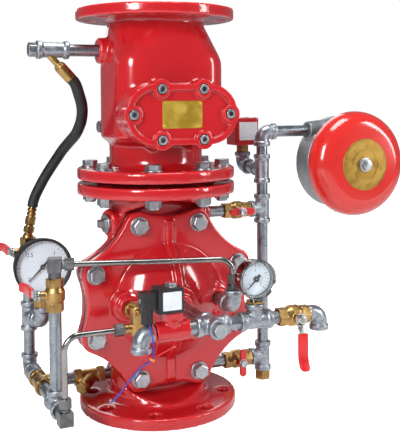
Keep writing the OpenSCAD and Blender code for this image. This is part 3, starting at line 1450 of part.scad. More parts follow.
valve_body();
seat_rings();
diaphragm();
main_disc();
disc_spring();
bonnet();
bonnet_bolts();
pipe_plugs();
check_body();
clapper();
clapper_pin();
check_cover();
gaskets();
cover_screws();
flange_bolts();
hose_fittings();
rubber_hose();
hose_valve_body();
hose_valve_ball();
hose_valve_lever();
feed_valve_body();
feed_valve_ball();
feed_valve_lever();
pipes();
supply_fittings();
brass_fittings();
strainer_body();
strainer_cap();
tube_fittings();
upper_tube();
lower_tube();
port_elbow();
supply_gauge_case();
supply_gauge_pointer();
release_gauge_case();
release_gauge_pointer();
gauge_dials();
gauge_lenses();
alarm_fittings();
test_valve_body();
test_valve_handle();
alarm_valve_body();
alarm_valve_handle();
switch_box();
gong_motor();
gong_axle();
gong_rotor();
gong_shell();
brass_plates();
manifold_fittings();
release_valve_body();
release_valve_ball();
release_valve_lever();
solenoid_body();
solenoid_coil();
solenoid_connector();
solenoid_plunger();
wire_red();
wire_blue();
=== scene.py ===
import math

import bpy
from mathutils import Matrix, Vector


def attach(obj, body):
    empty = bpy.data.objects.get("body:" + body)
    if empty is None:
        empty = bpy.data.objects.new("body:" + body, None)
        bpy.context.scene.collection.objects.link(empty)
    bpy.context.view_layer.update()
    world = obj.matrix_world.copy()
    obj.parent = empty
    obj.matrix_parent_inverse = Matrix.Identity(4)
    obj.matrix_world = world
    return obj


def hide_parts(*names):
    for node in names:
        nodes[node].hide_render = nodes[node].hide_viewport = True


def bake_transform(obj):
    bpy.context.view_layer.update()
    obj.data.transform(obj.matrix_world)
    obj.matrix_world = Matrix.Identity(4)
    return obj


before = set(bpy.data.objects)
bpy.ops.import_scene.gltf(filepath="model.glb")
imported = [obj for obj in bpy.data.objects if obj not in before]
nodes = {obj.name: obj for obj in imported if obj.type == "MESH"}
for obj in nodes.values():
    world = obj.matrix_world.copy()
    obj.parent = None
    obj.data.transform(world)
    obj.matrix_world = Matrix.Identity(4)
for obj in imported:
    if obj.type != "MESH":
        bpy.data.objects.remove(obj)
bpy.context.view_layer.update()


# Diaphragm valve body
# A grey iron sand casting with two drilled flanges, a round chamber and side bosses, under gloss red
# enamel. Its corners have the fillets of the pattern, so the machined solid is rounded all over.
def socket(group, name, way):
    return group.interface.new_socket(name, in_out=way, socket_type="NodeSocketFloat")


def wire(tree, source, output, target, entry):
    tree.links.new(source.outputs[output], target.inputs[entry])


def fill(node, values):
    for entry, value in values.items():
        node.inputs[entry].default_value = value


def make_mottle():
    group = bpy.data.node_groups.new("mottle", "ShaderNodeTree")
    socket(group, "Scale", "INPUT")
    socket(group, "Grain Scale", "INPUT")
    socket(group, "Patch", "OUTPUT")
    socket(group, "Grain", "OUTPUT")
    inside = group.nodes.new("NodeGroupInput")
    outside = group.nodes.new("NodeGroupOutput")
    place = group.nodes.new("ShaderNodeTexCoord")
    cloud = group.nodes.new("ShaderNodeTexNoise")
    fill(cloud, {"Detail": 4})
    grain = group.nodes.new("ShaderNodeTexNoise")
    fill(grain, {"Detail": 2})
    spread = group.nodes.new("ShaderNodeMapRange")
    fill(spread, {"From Min": 0.35, "From Max": 0.65})
    for noise, entry in ((cloud, "Scale"), (grain, "Grain Scale")):
        wire(group, place, "Object", noise, "Vector")
        wire(group, inside, entry, noise, "Scale")
    wire(group, cloud, "Fac", spread, "Value")
    wire(group, spread, "Result", outside, "Patch")
    wire(group, grain, "Fac", outside, "Grain")
    return group


def make_relief():
    group = bpy.data.node_groups.new("relief", "ShaderNodeTree")
    socket(group, "Ridge Paint And Highlight", "OUTPUT")
    socket(group, "Hollow", "OUTPUT")
    outside = group.nodes.new("NodeGroupOutput")
    form = group.nodes.new("ShaderNodeNewGeometry")
    # Pointiness picks out sharp edges, to be lightened as thin paint and a painted highlight, and recesses,
    # to be darkened as painted shade.
    for name, low, high in (("Ridge Paint And Highlight", 0.515, 0.56), ("Hollow", 0.49, 0.44)):
        pick = group.nodes.new("ShaderNodeMapRange")
        fill(pick, {"From Min": low, "From Max": high})
        wire(group, form, "Pointiness", pick, "Value")
        wire(group, pick, "Result", outside, name)
    return group


mottle = make_mottle()
relief = make_relief()


def surface(name, dark, light, scale, rough, metallic=0.0, grain=(600, 0.1), coat=0.0):
    """A finish whose colour and gloss wander between two values, over a grain of (scale, strength)."""
    material = bpy.data.materials.new(name)
    material.use_nodes = True
    tree = material.node_tree
    shader = tree.nodes["Principled BSDF"]
    fill(shader, {"Metallic": metallic, "Coat Weight": coat, "Coat Roughness": 0.06})
    skin = tree.nodes.new("ShaderNodeGroup")
    skin.node_tree = mottle
    fill(skin, {"Scale": scale, "Grain Scale": grain[0]})
    tint = tree.nodes.new("ShaderNodeMix")
    tint.name = "tint"
    tint.data_type = "RGBA"
    fill(tint, {"A": (*dark, 1), "B": (*light, 1)})
    gloss = tree.nodes.new("ShaderNodeMapRange")
    fill(gloss, {"To Min": rough[0], "To Max": rough[1]})
    bump = tree.nodes.new("ShaderNodeBump")
    fill(bump, {"Strength": grain[1], "Distance": 0.0004})
    wire(tree, skin, "Patch", tint, "Factor")
    wire(tree, tint, "Result", shader, "Base Color")
    wire(tree, skin, "Patch", gloss, "Value")
    wire(tree, gloss, "Result", shader, "Roughness")
    wire(tree, skin, "Grain", bump, "Height")
    wire(tree, bump, "Normal", shader, "Normal")
    return material


def overlay(tree, under, colour, mask):
    """Lays a colour over another one by a mask."""
    step = tree.nodes.new("ShaderNodeMix")
    step.data_type = "RGBA"
    fill(step, {"B": (*colour, 1)})
    tree.links.new(under, step.inputs["A"])
    tree.links.new(mask, step.inputs["Factor"])
    tree.links.new(step.outputs["Result"], tree.nodes["Principled BSDF"].inputs["Base Color"])
    return step.outputs["Result"]


def shade_relief(material, edge_paint_and_highlight, hollow_shade):
    """Thin paint and a painted highlight on the edges, and painted shade in the hollows."""
    tree = material.node_tree
    form = tree.nodes.new("ShaderNodeGroup")
    form.node_tree = relief
    last = tree.nodes["tint"].outputs["Result"]
    for output, colour in (("Hollow", hollow_shade), ("Ridge Paint And Highlight", edge_paint_and_highlight)):
        last = overlay(tree, last, colour, form.outputs[output])


def belongs(piece, body, slot, *replaced):
    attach(piece, body)
    if replaced:
        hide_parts(*replaced)


def only(piece):
    bpy.ops.object.select_all(action="DESELECT")
    piece.select_set(True)
    bpy.context.view_layer.objects.active = piece


def edit_all():
    bpy.ops.object.mode_set(mode="EDIT")
    bpy.ops.mesh.select_all(action="SELECT")


def apply(piece, kind, **values):
    only(piece)
    bpy.ops.object.modifier_add(type=kind)
    modifier = piece.modifiers[-1]
    for name, value in values.items():
        setattr(modifier, name, value)
    bpy.ops.object.modifier_apply(modifier=modifier.name)


def rounded_copy(node, name, voxel, passes):
    """A copy of a solid whose edges are rounded off as on a casting."""
    piece = bpy.data.objects.new(name, nodes[node].data.copy())
    bpy.context.collection.objects.link(piece)
    only(piece)
    edit_all()
    bpy.ops.mesh.remove_doubles(threshold=0.00001)
    bpy.ops.object.mode_set(mode="OBJECT")
    apply(piece, "REMESH", mode="VOXEL", voxel_size=voxel)
    apply(piece, "SMOOTH", factor=0.5, iterations=passes)
    bpy.ops.object.shade_smooth()
    return piece


def paint(piece, *materials):
    piece.data.materials.clear()
    for material in materials:
        piece.data.materials.append(material)


def finished_copy(node, name, material, slot, voxel, passes):
    """A rounded copy in one finish, in the place of its solid on the standing set."""
    piece = rounded_copy(node, name, voxel, passes)
    paint(piece, material)
    belongs(piece, "valve_set", slot, node)


red_enamel = surface("red_enamel", (0.45, 0.008, 0.012), (0.52, 0.011, 0.016), scale=6,
                     rough=(0.13, 0.22), grain=(140, 0.16), coat=0.5)
# The enamel is painted lighter on sharp edges, as thin paint and a painted highlight, and darker red in the
# hollows as painted shade.
shade_relief(red_enamel, edge_paint_and_highlight=(0.66, 0.03, 0.035), hollow_shade=(0.26, 0.004, 0.007))
finished_copy("valve_body", "body_casting", red_enamel, "red_paint", voxel=0.0032, passes=6)


# Seat, diaphragm and main disc
# A bronze seat ring screwed into the body, a cloth-reinforced rubber sheet clamped under the bonnet, and
# the iron disc and retainer that it carries, pushed onto the seat by a steel spring.
def dress(material, *names):
    for name in names:
        for slot in nodes[name].material_slots:
            slot.material = material


bonnet_axis = 0.2025
bronze = surface("bronze", (0.42, 0.26, 0.1), (0.55, 0.36, 0.14), scale=40, rough=(0.25, 0.4), metallic=1.0)
rubber = surface("rubber", (0.006, 0.006, 0.007), (0.013, 0.013, 0.015), scale=60,
                 rough=(0.45, 0.6), grain=(900, 0.25))
# This dark iron finish also serves as painted shade inside the cover screws' hex sockets.
iron_and_socket_shade = surface("iron_and_socket_shade", (0.09, 0.09, 0.095), (0.16, 0.155, 0.15), scale=50,
               rough=(0.45, 0.65), metallic=0.6, grain=(300, 0.4))
spring_steel = surface("spring_steel", (0.3, 0.3, 0.31), (0.45, 0.45, 0.46), scale=80,
                       rough=(0.3, 0.45), metallic=1.0)
dress(bronze, "seat_rings")
dress(rubber, "diaphragm")
dress(iron_and_socket_shade, "main_disc")
return_spring = rounded_copy("disc_spring", "return_spring", voxel=0.0012, passes=2)
paint(return_spring, spring_steel)
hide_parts("disc_spring")
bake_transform(return_spring)


# Bonnet
# A second casting in the same red enamel, with eight lobes, a shallow dome, an upright rib and three
# bosses for the control pipes. It is bolted to the front of the body.
finished_copy("bonnet", "bonnet_casting", red_enamel, "red_paint", voxel=0.0021, passes=8)


# Bonnet bolts and flange bolts
# Forged and zinc plated: hexagon heads on pressed washers round the bonnet, and bolts with nuts that
# clamp the two flanges over their rubber gasket. Each head is left at the angle where it came tight.
def extrude(x, y, z):
    bpy.ops.mesh.extrude_region_move(TRANSFORM_OT_translate={"value": (x, y, z)})


def face_outwards():
    bpy.ops.mesh.select_all(action="SELECT")
    bpy.ops.mesh.normals_make_consistent(inside=False)
    bpy.ops.object.mode_set(mode="OBJECT")


def turned(name, profile, sides):
    """A round or many-sided piece raised ring by ring through (radius, height) pairs."""
    radius, height = profile[0]
    bpy.ops.object.select_all(action="DESELECT")
    bpy.ops.mesh.primitive_circle_add(vertices=sides, radius=radius, fill_type="NGON",
                                      location=(0, 0, height))
    piece = bpy.context.object
    piece.name = name
    bpy.ops.object.transform_apply(location=True)
    edit_all()
    for wide, high in profile[1:]:
        ratio = wide / radius
        extrude(0, 0, high - height)
        bpy.ops.transform.resize(value=(ratio, ratio, 1), center_override=(0, 0, high))
        radius, height = wide, high
    face_outwards()
    return piece


def soften(piece, width, angle=30):
    """Breaks the sharp edges with a narrow round."""
    only(piece)
    bpy.ops.object.shade_smooth()
    apply(piece, "BEVEL", width=width, segments=2, limit_method="ANGLE",
          angle_limit=math.radians(angle), harden_normals=True)


def joined(name, *parts):
    only(parts[0])
    for part in parts[1:]:
        part.select_set(True)
    bpy.ops.object.join()
    parts[0].name = name
    return parts[0]


def again(piece, name):
    other = bpy.data.objects.new(name, piece.data.copy())
    bpy.context.collection.objects.link(other)
    return other


def stand(piece, at, up, side):
    """Puts a piece made at the origin in its place, with its Z along up and its X near side."""
    z = Vector(up).normalized()
    y = z.cross(Vector(side)).normalized()
    axes = Matrix((y.cross(z), y, z)).transposed().to_4x4()
    piece.matrix_world = Matrix.Translation(Vector(at)) @ axes
    only(piece)
    bpy.ops.object.transform_apply(location=True, rotation=True, scale=True)


def hexagon(name, flats, low, high, chamfer):
    corner = flats / 2 / math.cos(math.radians(30))
    return turned(name, [(corner, low), (corner, high - chamfer), (corner - 1.7 * chamfer, high)], 6)


def spaced(i, count):
    """Angle of one of the evenly spaced bolts of a ring that straddles its centre lines."""
    return math.radians(360 / count * (i + 0.5))


FRONT = Vector((0, -1, 0))
UP = Vector((0, 0, 1))
RIGHT = Vector((1, 0, 0))
bolt_count = 8
bonnet_circle = 0.145
bonnet_face = -0.064
bonnet_twist = 0.7
zinc_plate = surface("zinc_plate", (0.36, 0.38, 0.41), (0.52, 0.53, 0.55), scale=90,
                     rough=(0.28, 0.42), metallic=1.0)
bolt_washer = turned("bolt_washer", [(0.0163, 0), (0.0163, 0.0024), (0.0156, 0.003)], 40)
bolt_head = hexagon("bolt_head", flats=0.0245, low=0.003, high=0.0145, chamfer=0.0012)
soften(bolt_washer, 0.0003)
soften(bolt_head, 0.0006)
bonnet_bolt = joined("bonnet_bolt_0", bolt_head, bolt_washer)
paint(bonnet_bolt, zinc_plate)
for i in range(bolt_count):
    turn = spaced(i, bolt_count)
    twist = bonnet_twist * i
    bolt = again(bonnet_bolt, f"bonnet_bolt_{i + 1}")
    place = (bonnet_circle * math.cos(turn), bonnet_face, bonnet_axis + bonnet_circle * math.sin(turn))
    stand(bolt, place, FRONT, (math.cos(twist), 0, math.sin(twist)))
    belongs(bolt, "valve_set", "zinc", "bonnet_bolts")
bpy.data.objects.remove(bonnet_bolt)

flange_circle = 0.12
flange_top = 0.4345
flange_twist = 1.1
nut_top = -0.0475
nut_foot = -0.0605
flange_head = hexagon("flange_head", flats=0.024, low=0.0025, high=0.0125, chamfer=0.001)
flange_washer = turned("flange_washer", [(0.0155, 0), (0.0155, 0.002), (0.0149, 0.0025)], 40)
flange_nut = hexagon("flange_nut", flats=0.024, low=nut_foot, high=nut_top, chamfer=0.001)
bolt_end = turned("bolt_end", [(0.009, -0.0645), (0.01, -0.0635), (0.01, nut_top)], 32)
for part in (flange_head, flange_nut, bolt_end, flange_washer):
    soften(part, 0.0004)
flange_bolt = joined("flange_bolt_0", flange_head, flange_washer, flange_nut, bolt_end)
paint(flange_bolt, zinc_plate)
for i in range(bolt_count):
    turn = spaced(i, bolt_count)
    twist = flange_twist * i
    bolt = again(flange_bolt, f"flange_bolt_{i + 1}")
    place = (flange_circle * math.cos(turn), flange_circle * math.sin(turn), flange_top)
    stand(bolt, place, UP, (math.cos(twist), math.sin(twist), 0))
    belongs(bolt, "valve_set", "zinc", "flange_bolts")
bpy.data.objects.remove(flange_bolt)
dress(rubber, "gaskets")


# Check valve
# The body above is cast with its own two flanges, an oval chest on the front and a boss for the hose
# branch. Inside it a bronze clapper hangs on a steel pin. The cover is a casting of its own.
finished_copy("check_body", "check_casting", red_enamel, "red_paint", voxel=0.0029, passes=6)
finished_copy("check_cover", "cover_casting", red_enamel, "red_paint", voxel=0.0012, passes=6)
dress(bronze, "clapper")
dress(spring_steel, "clapper_pin")


# Cover screws and plate
# Six zinc plated socket head screws sunk in the cover's border, and an etched and lacquered plate on
# four rivets in its hollow.
cover_axis = 0.53
screw_seat = -0.128
end_screw = 0.087
screw_x = 0.0375
screw_z = 0.0425
socket_corner = 0.0046
socket_floor = 0.0045
socket_edge = 0.0047
socket_rim = 0.0097
screw_head = turned("screw_head", [(0.008, 0), (0.008, 0.0092), (0.0073, 0.01)], 36)
hex_key = turned("hex_key", [(socket_corner, socket_floor), (socket_corner, 0.02)], 6)
apply(screw_head, "BOOLEAN", operation="DIFFERENCE", object=hex_key)
bpy.data.objects.remove(hex_key)
soften(screw_head, 0.0004)
# The faces inside each hex socket take the dark iron finish as painted shade in the hole.
paint(screw_head, zinc_plate, iron_and_socket_shade)
for face in screw_head.data.polygons:
    socket_shade = math.hypot(face.center.x, face.center.y) < socket_edge and face.center.z < socket_rim
    face.material_index = 1 if socket_shade else 0
screw_places = ((end_screw, 0), (screw_x, screw_z), (-screw_x, screw_z),
                (-end_screw, 0), (-screw_x, -screw_z), (screw_x, -screw_z))
for i, (x, rise) in enumerate(screw_places):
    screw = again(screw_head, f"cover_screw_{i + 1}")
    stand(screw, (x, screw_seat, cover_axis + rise), FRONT, (math.cos(i), 0, math.sin(i)))
    belongs(screw, "valve_set", "zinc", "cover_screws")
bpy.data.objects.remove(screw_head)


def slab(name, width, height, thick, corner, rim, sink):
    """A plate with rounded corners, face up at the origin, with its face sunk inside a rim."""
    bpy.ops.object.select_all(action="DESELECT")
    bpy.ops.mesh.primitive_plane_add(size=1)
    piece = bpy.context.object
    piece.name = name
    piece.scale = (width, height, 1)
    bpy.ops.object.transform_apply(scale=True)
    edit_all()
    bpy.ops.mesh.bevel(offset=corner, segments=6, affect="VERTICES")
    bpy.ops.mesh.select_all(action="SELECT")
    extrude(0, 0, thick)
    bpy.ops.mesh.inset(thickness=rim)
    extrude(0, 0, -sink)
    face_outwards()
    return piece


plate_seat = -0.13
rivet_x = 0.032
rivet_y = 0.019
rivet_profile = [(0.0019, 0.0008), (0.0019, 0.0014), (0.0013, 0.0019), (0.0004, 0.0021)]
gilt = surface("gilt", (0.68, 0.42, 0.045), (0.82, 0.56, 0.1), scale=50,
               rough=(0.28, 0.42), metallic=0.85, grain=(500, 0.08))
cover_plate = slab("cover_plate", 0.072, 0.046, thick=0.0012, corner=0.003, rim=0.0022, sink=0.0003)
soften(cover_plate, 0.00015)
rivets = []
for x in (-rivet_x, rivet_x):
    for y in (-rivet_y, rivet_y):
        rivet = turned("rivet", rivet_profile, 16)
        only(rivet)
        bpy.ops.object.shade_smooth_by_angle(angle=math.radians(50))
        rivet.location = (x, y, 0)
        bpy.ops.object.transform_apply(location=True)
        rivets.append(rivet)
cover_plate = joined("cover_plate", cover_plate, *rivets)
paint(cover_plate, gilt)
stand(cover_plate, (0, plate_seat, cover_axis), FRONT, RIGHT)
belongs(cover_plate, "valve_set", "gold_plate", "brass_plates")


# Galvanised pipe and fittings
# Half inch nipples, tees, elbows and a cross in malleable iron, dipped in zinc, with beads at their ends.
# The zinc froze in pale grains that show as faint spangle.
def make_spangle():
    group = bpy.data.node_groups.new("spangle", "ShaderNodeTree")
    socket(group, "Scale", "INPUT")
    socket(group, "Grain", "OUTPUT")
    inside = group.nodes.new("NodeGroupInput")
    outside = group.nodes.new("NodeGroupOutput")
    place = group.nodes.new("ShaderNodeTexCoord")
    cells = group.nodes.new("ShaderNodeTexVoronoi")
    split = group.nodes.new("ShaderNodeSeparateColor")
    wire(group, place, "Object", cells, "Vector")
    wire(group, inside, "Scale", cells, "Scale")
    wire(group, cells, "Color", split, "Color")
    wire(group, split, "Red", outside, "Grain")
    return group


spangle = make_spangle()


def freckle(material, scale, colour, amount):
    """Scattered grains of a second colour over the finish."""
    tree = material.node_tree
    grains = tree.nodes.new("ShaderNodeGroup")
    grains.node_tree = spangle
    fill(grains, {"Scale": scale})
    share = tree.nodes.new("ShaderNodeMapRange")
    fill(share, {"To Max": amount})
    wire(tree, grains, "Grain", share, "Value")
    overlay(tree, tree.nodes["tint"].outputs["Result"], colour, share.outputs["Result"])


galvanised = surface("galvanised", (0.2, 0.225, 0.26), (0.34, 0.365, 0.4), scale=70,
                     rough=(0.3, 0.48), metallic=0.9, grain=(260, 0.3))
freckle(galvanised, scale=260, colour=(0.5, 0.53, 0.56), amount=0.6)
pipe_zinc = surface("pipe_zinc", (0.2, 0.23, 0.255), (0.3, 0.33, 0.355), scale=50,
                    rough=(0.24, 0.38), metallic=0.95, grain=(500, 0.12))
freckle(pipe_zinc, scale=320, colour=(0.46, 0.49, 0.52), amount=0.4)
for run in ("supply", "alarm", "manifold"):
    finished_copy(run + "_fittings", run + "_castings", galvanised, "zinc", voxel=0.0011, passes=3)
dress(pipe_zinc, "pipes")
finished_copy("pipe_plugs", "plug_forgings", zinc_plate, "steel", voxel=0.001, passes=2)


# Brass fittings and strainer
# Hot pressed brass, screwed together: the tee of the supply run, gauge bushings, the plug below the riser,
# the strainer with its cap and the ends of the hose.
brass = surface("brass", (0.31, 0.185, 0.06), (0.52, 0.33, 0.125), scale=60,
                rough=(0.24, 0.4), metallic=1.0, grain=(400, 0.15))
for node in ("brass_fittings", "strainer_body", "strainer_cap", "port_elbow"):
    finished_copy(node, node + "_pressing", brass, "brass", voxel=0.0008, passes=3)
finished_copy("hose_fittings", "hose_ends", brass, "brass", voxel=0.0008, passes=2)


# Ball valves and their handles
# Brass bodies with hexagon ends and steel balls. Three have a cranked and plated steel lever in a dipped
# red vinyl sleeve that curls out at its tip; the two on the alarm side have red butterfly handles.
def bar(name, across, thick, corner, steps):
    """A flat bar along Y, thick in X and wide in Z, drawn through (x, y, scale) steps."""
    x, y, size = steps[0]
    bpy.ops.object.select_all(action="DESELECT")
    bpy.ops.mesh.primitive_plane_add(size=1, location=(x, y, 0), rotation=(math.radians(90), 0, 0))
    piece = bpy.context.object
    piece.name = name
    piece.scale = (thick * size, across * size, 1)
    bpy.ops.object.transform_apply(location=True, rotation=True, scale=True)
    edit_all()
    bpy.ops.mesh.bevel(offset=corner, segments=4, affect="VERTICES")
    bpy.ops.mesh.select_all(action="SELECT")
    for far_x, far_y, far_size in steps[1:]:
        ratio = far_size / size
        extrude(far_x - x, far_y - y, 0)
        bpy.ops.transform.resize(value=(ratio, 1, ratio), center_override=(far_x, far_y, 0))
        x, y, size = far_x, far_y, far_size
    face_outwards()
    return piece


red_vinyl = surface("red_vinyl", (0.58, 0.008, 0.01), (0.68, 0.014, 0.016), scale=60,
                    rough=(0.3, 0.4), grain=(500, 0.1), coat=0.2)
plated = surface("plated", (0.5, 0.5, 0.49), (0.64, 0.63, 0.61), scale=90, rough=(0.2, 0.32), metallic=1.0)
for name in ("hose", "feed", "release", "test", "alarm"):
    finished_copy(name + "_valve_body", name + "_valve_pressing", brass, "brass", voxel=0.0008, passes=2)
dress(spring_steel, "hose_valve_ball", "feed_valve_ball", "release_valve_ball")

eye_seat = 0.0263
eye_thick = 0.003
hub_x = 0.0278
grip_x = 0.0338
half_way = (hub_x + grip_x) / 2
crank = [(hub_x, 0, 1), (hub_x, 0.0105, 1), (half_way, 0.0155, 1), (grip_x, 0.0205, 1), (grip_x, 0.04, 1)]
straight = [(grip_x, 0.0213, 0.9), (grip_x, 0.0223, 1), (grip_x, 0.0345, 1), (grip_x, 0.0475, 1)]
curl = [(0.034, 0.0555, 1), (0.0348, 0.0615, 1), (0.0363, 0.067, 1), (0.0386, 0.0722, 1)]
tip = [(0.0403, 0.0755, 0.97), (0.0415, 0.0776, 0.86), (0.0423, 0.079, 0.66), (0.0426, 0.0797, 0.4)]
strip = bar("strip", across=0.013, thick=0.003, corner=0.0006, steps=crank)
eye = turned("eye", [(0.0099, 0), (0.0099, eye_thick)], 32)
nut = hexagon("nut", flats=0.013, low=eye_thick, high=0.008, chamfer=0.0007)
for part in (eye, nut):
    stand(part, (eye_seat, 0, 0), RIGHT, UP)
sleeve = bar("sleeve", across=0.017, thick=0.008, corner=0.0026, steps=straight + curl + tip)
for part in (strip, eye, nut):
    soften(part, 0.0003)
    paint(part, plated)
soften(sleeve, 0.0003, 40)
paint(sleeve, red_vinyl)
lever = joined("lever", strip, eye, nut, sleeve)
lever_places = {"hose": ((-0.205, 0.15, 0.268), -UP, -RIGHT),
                "feed": ((-0.205, -0.066, 0.233), -UP, -RIGHT),
                "release": ((0.144, -0.245, bonnet_axis), RIGHT, FRONT)}
for name, (place, across, stem) in lever_places.items():
    handle = again(lever, name + "_lever_arm")
    stand(handle, place, across, stem)
    belongs(handle, name + "_valve", "red_vinyl", name + "_valve_lever")
bpy.data.objects.remove(lever)

wing_front = -0.0314
wing_back = -0.0262
for name in ("test", "alarm"):
    wings = rounded_copy(name + "_valve_handle", name + "_wings", voxel=0.0007, passes=3)
    paint(wings, red_vinyl, zinc_plate)
    for face in wings.data.polygons:
        face.material_index = 0 if wing_front < face.center.y < wing_back else 1
    belongs(wings, name + "_valve", "red_vinyl", name + "_valve_handle")


# Control tubes
# Bright stainless tube bent once, in square steel block elbows with hexagon compression nuts.
stainless = surface("stainless", (0.25, 0.245, 0.235), (0.36, 0.35, 0.34), scale=30,
                    rough=(0.16, 0.28), metallic=1.0, grain=(700, 0.08))
block_steel = surface("block_steel", (0.12, 0.12, 0.125), (0.22, 0.22, 0.225), scale=60,
                      rough=(0.28, 0.42), metallic=1.0, grain=(300, 0.2))
finished_copy("tube_fittings", "block_elbows", block_steel, "steel", voxel=0.0007, passes=2)
dress(stainless, "upper_tube", "lower_tube")


# Gauges
# Pressure gauges with flat glass: a large one in a black enamelled steel case and a small one in a plated
# case. The dials are white enamel with printed black scales; the pointers rest on their stops.
gauge_sides = 72
stem_level = 0.015
dial_back = 0.0165
dial_front = 0.0175
print_level = 0.01754
print_thick = 0.0001
dial_margin = 0.006
tick_margin = 0.0015
number_margin = 0.0075
scale_start = 225
scale_sweep = 270
ticks_per_long = 5


def gauge_case(name, width, stem_foot):
    """Spun case with a rolled bezel, back at the origin and face up, on a stem along -Y."""
    r = width / 2
    back = [(r - 0.006, 0), (r - 0.003, 0.0012), (r - 0.0025, 0.004), (r - 0.0025, 0.022)]
    bezel = [(r - 0.001, 0.0226), (r, 0.024), (r, 0.0284), (r - 0.0008, 0.0298), (r - 0.0018, 0.03)]
    inside = [(r - 0.0032, 0.0286), (r - 0.0032, 0.027), (r - 0.0055, 0.027), (r - 0.0055, 0.0035)]
    neck = [(0.006, r - 0.006), (0.006, r + 0.0005), (0.0075, r + 0.001), (0.0075, stem_foot)]
    shell = turned(name, back + bezel + inside, gauge_sides)
    stem = turned("stem", neck, 24)
    stand(stem, (0, 0, stem_level), FRONT, UP)
    soften(shell, 0.0003, 40)
    soften(stem, 0.0003)
    return joined(name, shell, stem)


def dial_spot(reach, share):
    """Angle and place of a mark at a share of the scale's sweep."""
    turn = math.radians(scale_start - scale_sweep * share)
    return turn, (reach * math.cos(turn), reach * math.sin(turn), print_level)


def dial_face(name, width, numbers, size, steps):
    """Printed dial: a white disc, ticks over three quarters of a turn and plain numbers inside them."""
    r = width / 2 - dial_margin
    face = turned(name, [(r, dial_back), (r, dial_front)], gauge_sides)
    paint(face, dial_white)
    marks = []
    for i in range(steps + 1):
        length, thick = (0.0036, 0.00045) if i % ticks_per_long else (0.006, 0.0008)
        turn, spot = dial_spot(r - tick_margin - length / 2, i / steps)
        bpy.ops.mesh.primitive_cube_add(size=1, location=spot, rotation=(0, 0, turn))
        tick = bpy.context.object
        tick.scale = (length, thick, print_thick)
        bpy.ops.object.transform_apply(location=True, rotation=True, scale=True)
        marks.append(tick)
    for i, word in enumerate(numbers):
        turn, spot = dial_spot(r - number_margin - size * 0.75, i / (len(numbers) - 1))
        bpy.ops.object.text_add(location=spot)
        figure = bpy.context.object
        figure.data.body = word
        figure.data.size = size
        figure.data.align_x = "CENTER"
        figure.data.align_y = "CENTER"
        figure.data.extrude = print_thick / 2
        bpy.ops.object.convert(target="MESH")
        bpy.ops.object.transform_apply(location=True)
        marks.append(bpy.context.object)
    for mark in marks:
        paint(mark, print_black)
    return joined(name, face, *marks)


case_black = surface("case_black", (0.008, 0.008, 0.01), (0.016, 0.016, 0.018), scale=40,
                     rough=(0.35, 0.5), grain=(300, 0.1))
chrome = surface("chrome", (0.24, 0.245, 0.25), (0.32, 0.325, 0.33), scale=40,
                 rough=(0.08, 0.18), metallic=1.0)
dial_white = surface("dial_white", (0.76, 0.87, 0.96), (0.8, 0.9, 0.98), scale=30, rough=(0.35, 0.45))
print_black = surface("print_black", (0.008, 0.008, 0.008), (0.016, 0.016, 0.016), scale=90,
                      rough=(0.45, 0.55))
lens = surface("lens", (0.9, 0.95, 0.97), (0.92, 0.96, 0.98), scale=20, rough=(0.03, 0.06))
fill(lens.node_tree.nodes["Principled BSDF"], {"Alpha": 0.03})
supply_width = 0.108
release_width = 0.064
supply_place = (-0.19097, 0.10872, 0.249)
release_place = (0.075, -0.23, 0.2695)
supply_case = gauge_case("supply_case", supply_width, stem_foot=0.075)
release_case = gauge_case("release_case", release_width, stem_foot=0.039)
supply_dial = dial_face("supply_dial", supply_width, ("0", "0.5", "1", "1.5"), size=0.011, steps=30)
release_dial = dial_face("release_dial", release_width, ("0", "1", "2"), size=0.007, steps=20)
paint(supply_case, case_black)
paint(release_case, chrome)
for piece, place, slot, node in (
        (supply_case, supply_place, "black_case", "supply_gauge_case"),
        (release_case, release_place, "steel", "release_gauge_case"),
        (supply_dial, supply_place, "dial_white", "gauge_dials"),
        (release_dial, release_place, "dial_white", "gauge_dials")):
    stand(piece, place, FRONT, RIGHT)
    belongs(piece, "valve_set", slot, node)
dress(print_black, "supply_gauge_pointer", "release_gauge_pointer")
dress(lens, "gauge_lenses")


# Pressure switch
# A die-cast box in red enamel on a brass nipple, with a pressed lid held by four screws and a bare pale
# label stuck on its front.
switch_x = 0.218
switch_y = 0.084
lid_top = 0.517
screw_reach_x = 0.026
screw_reach_y = 0.025
lid_screws = 4
label_place = (0.219, 0.059, 0.491)
label_pale = surface("label_pale", (0.62, 0.66, 0.7), (0.72, 0.75, 0.78), scale=90, rough=(0.4, 0.5))
finished_copy("switch_box", "switch_casting", red_enamel, "red_paint", voxel=0.001, passes=5)
switch_label = slab("switch_label", 0.04, 0.036, thick=0.0006, corner=0.0015, rim=0.0008, sink=0.0001)
soften(switch_label, 0.0001)
paint(switch_label, label_pale)
stand(switch_label, label_place, FRONT, RIGHT)
belongs(switch_label, "valve_set", "dial_white")
lid_screw = turned("lid_screw", [(0.003, -0.0004), (0.003, 0.0008), (0.0022, 0.0016), (0.0006, 0.0019)], 20)
soften(lid_screw, 0.0002)
paint(lid_screw, zinc_plate)
for i in range(lid_screws):
    screw = again(lid_screw, f"lid_screw_{i + 1}")
    turn = spaced(i, lid_screws)
    place = (switch_x + screw_reach_x * math.cos(turn), switch_y + screw_reach_y * math.sin(turn), lid_top)
    stand(screw, place, UP, RIGHT)
    belongs(screw, "valve_set", "zinc")
bpy.data.objects.remove(lid_screw)


# Water motor gong
# A spun steel bell in red enamel on the motor's dead axle, with a gilt plate in beaded rings under its
# nut. The motor behind it is a grey painted iron case, and its iron wheel carries the striker.
def arc(centre, radius, first, last, steps):
    """Points of a quarter round in a turned profile."""
    turns = [math.radians(first + (last - first) * k / steps) for k in range(steps + 1)]
    return [(centre[0] + radius * math.cos(a), centre[1] + radius * math.sin(a)) for a in turns]


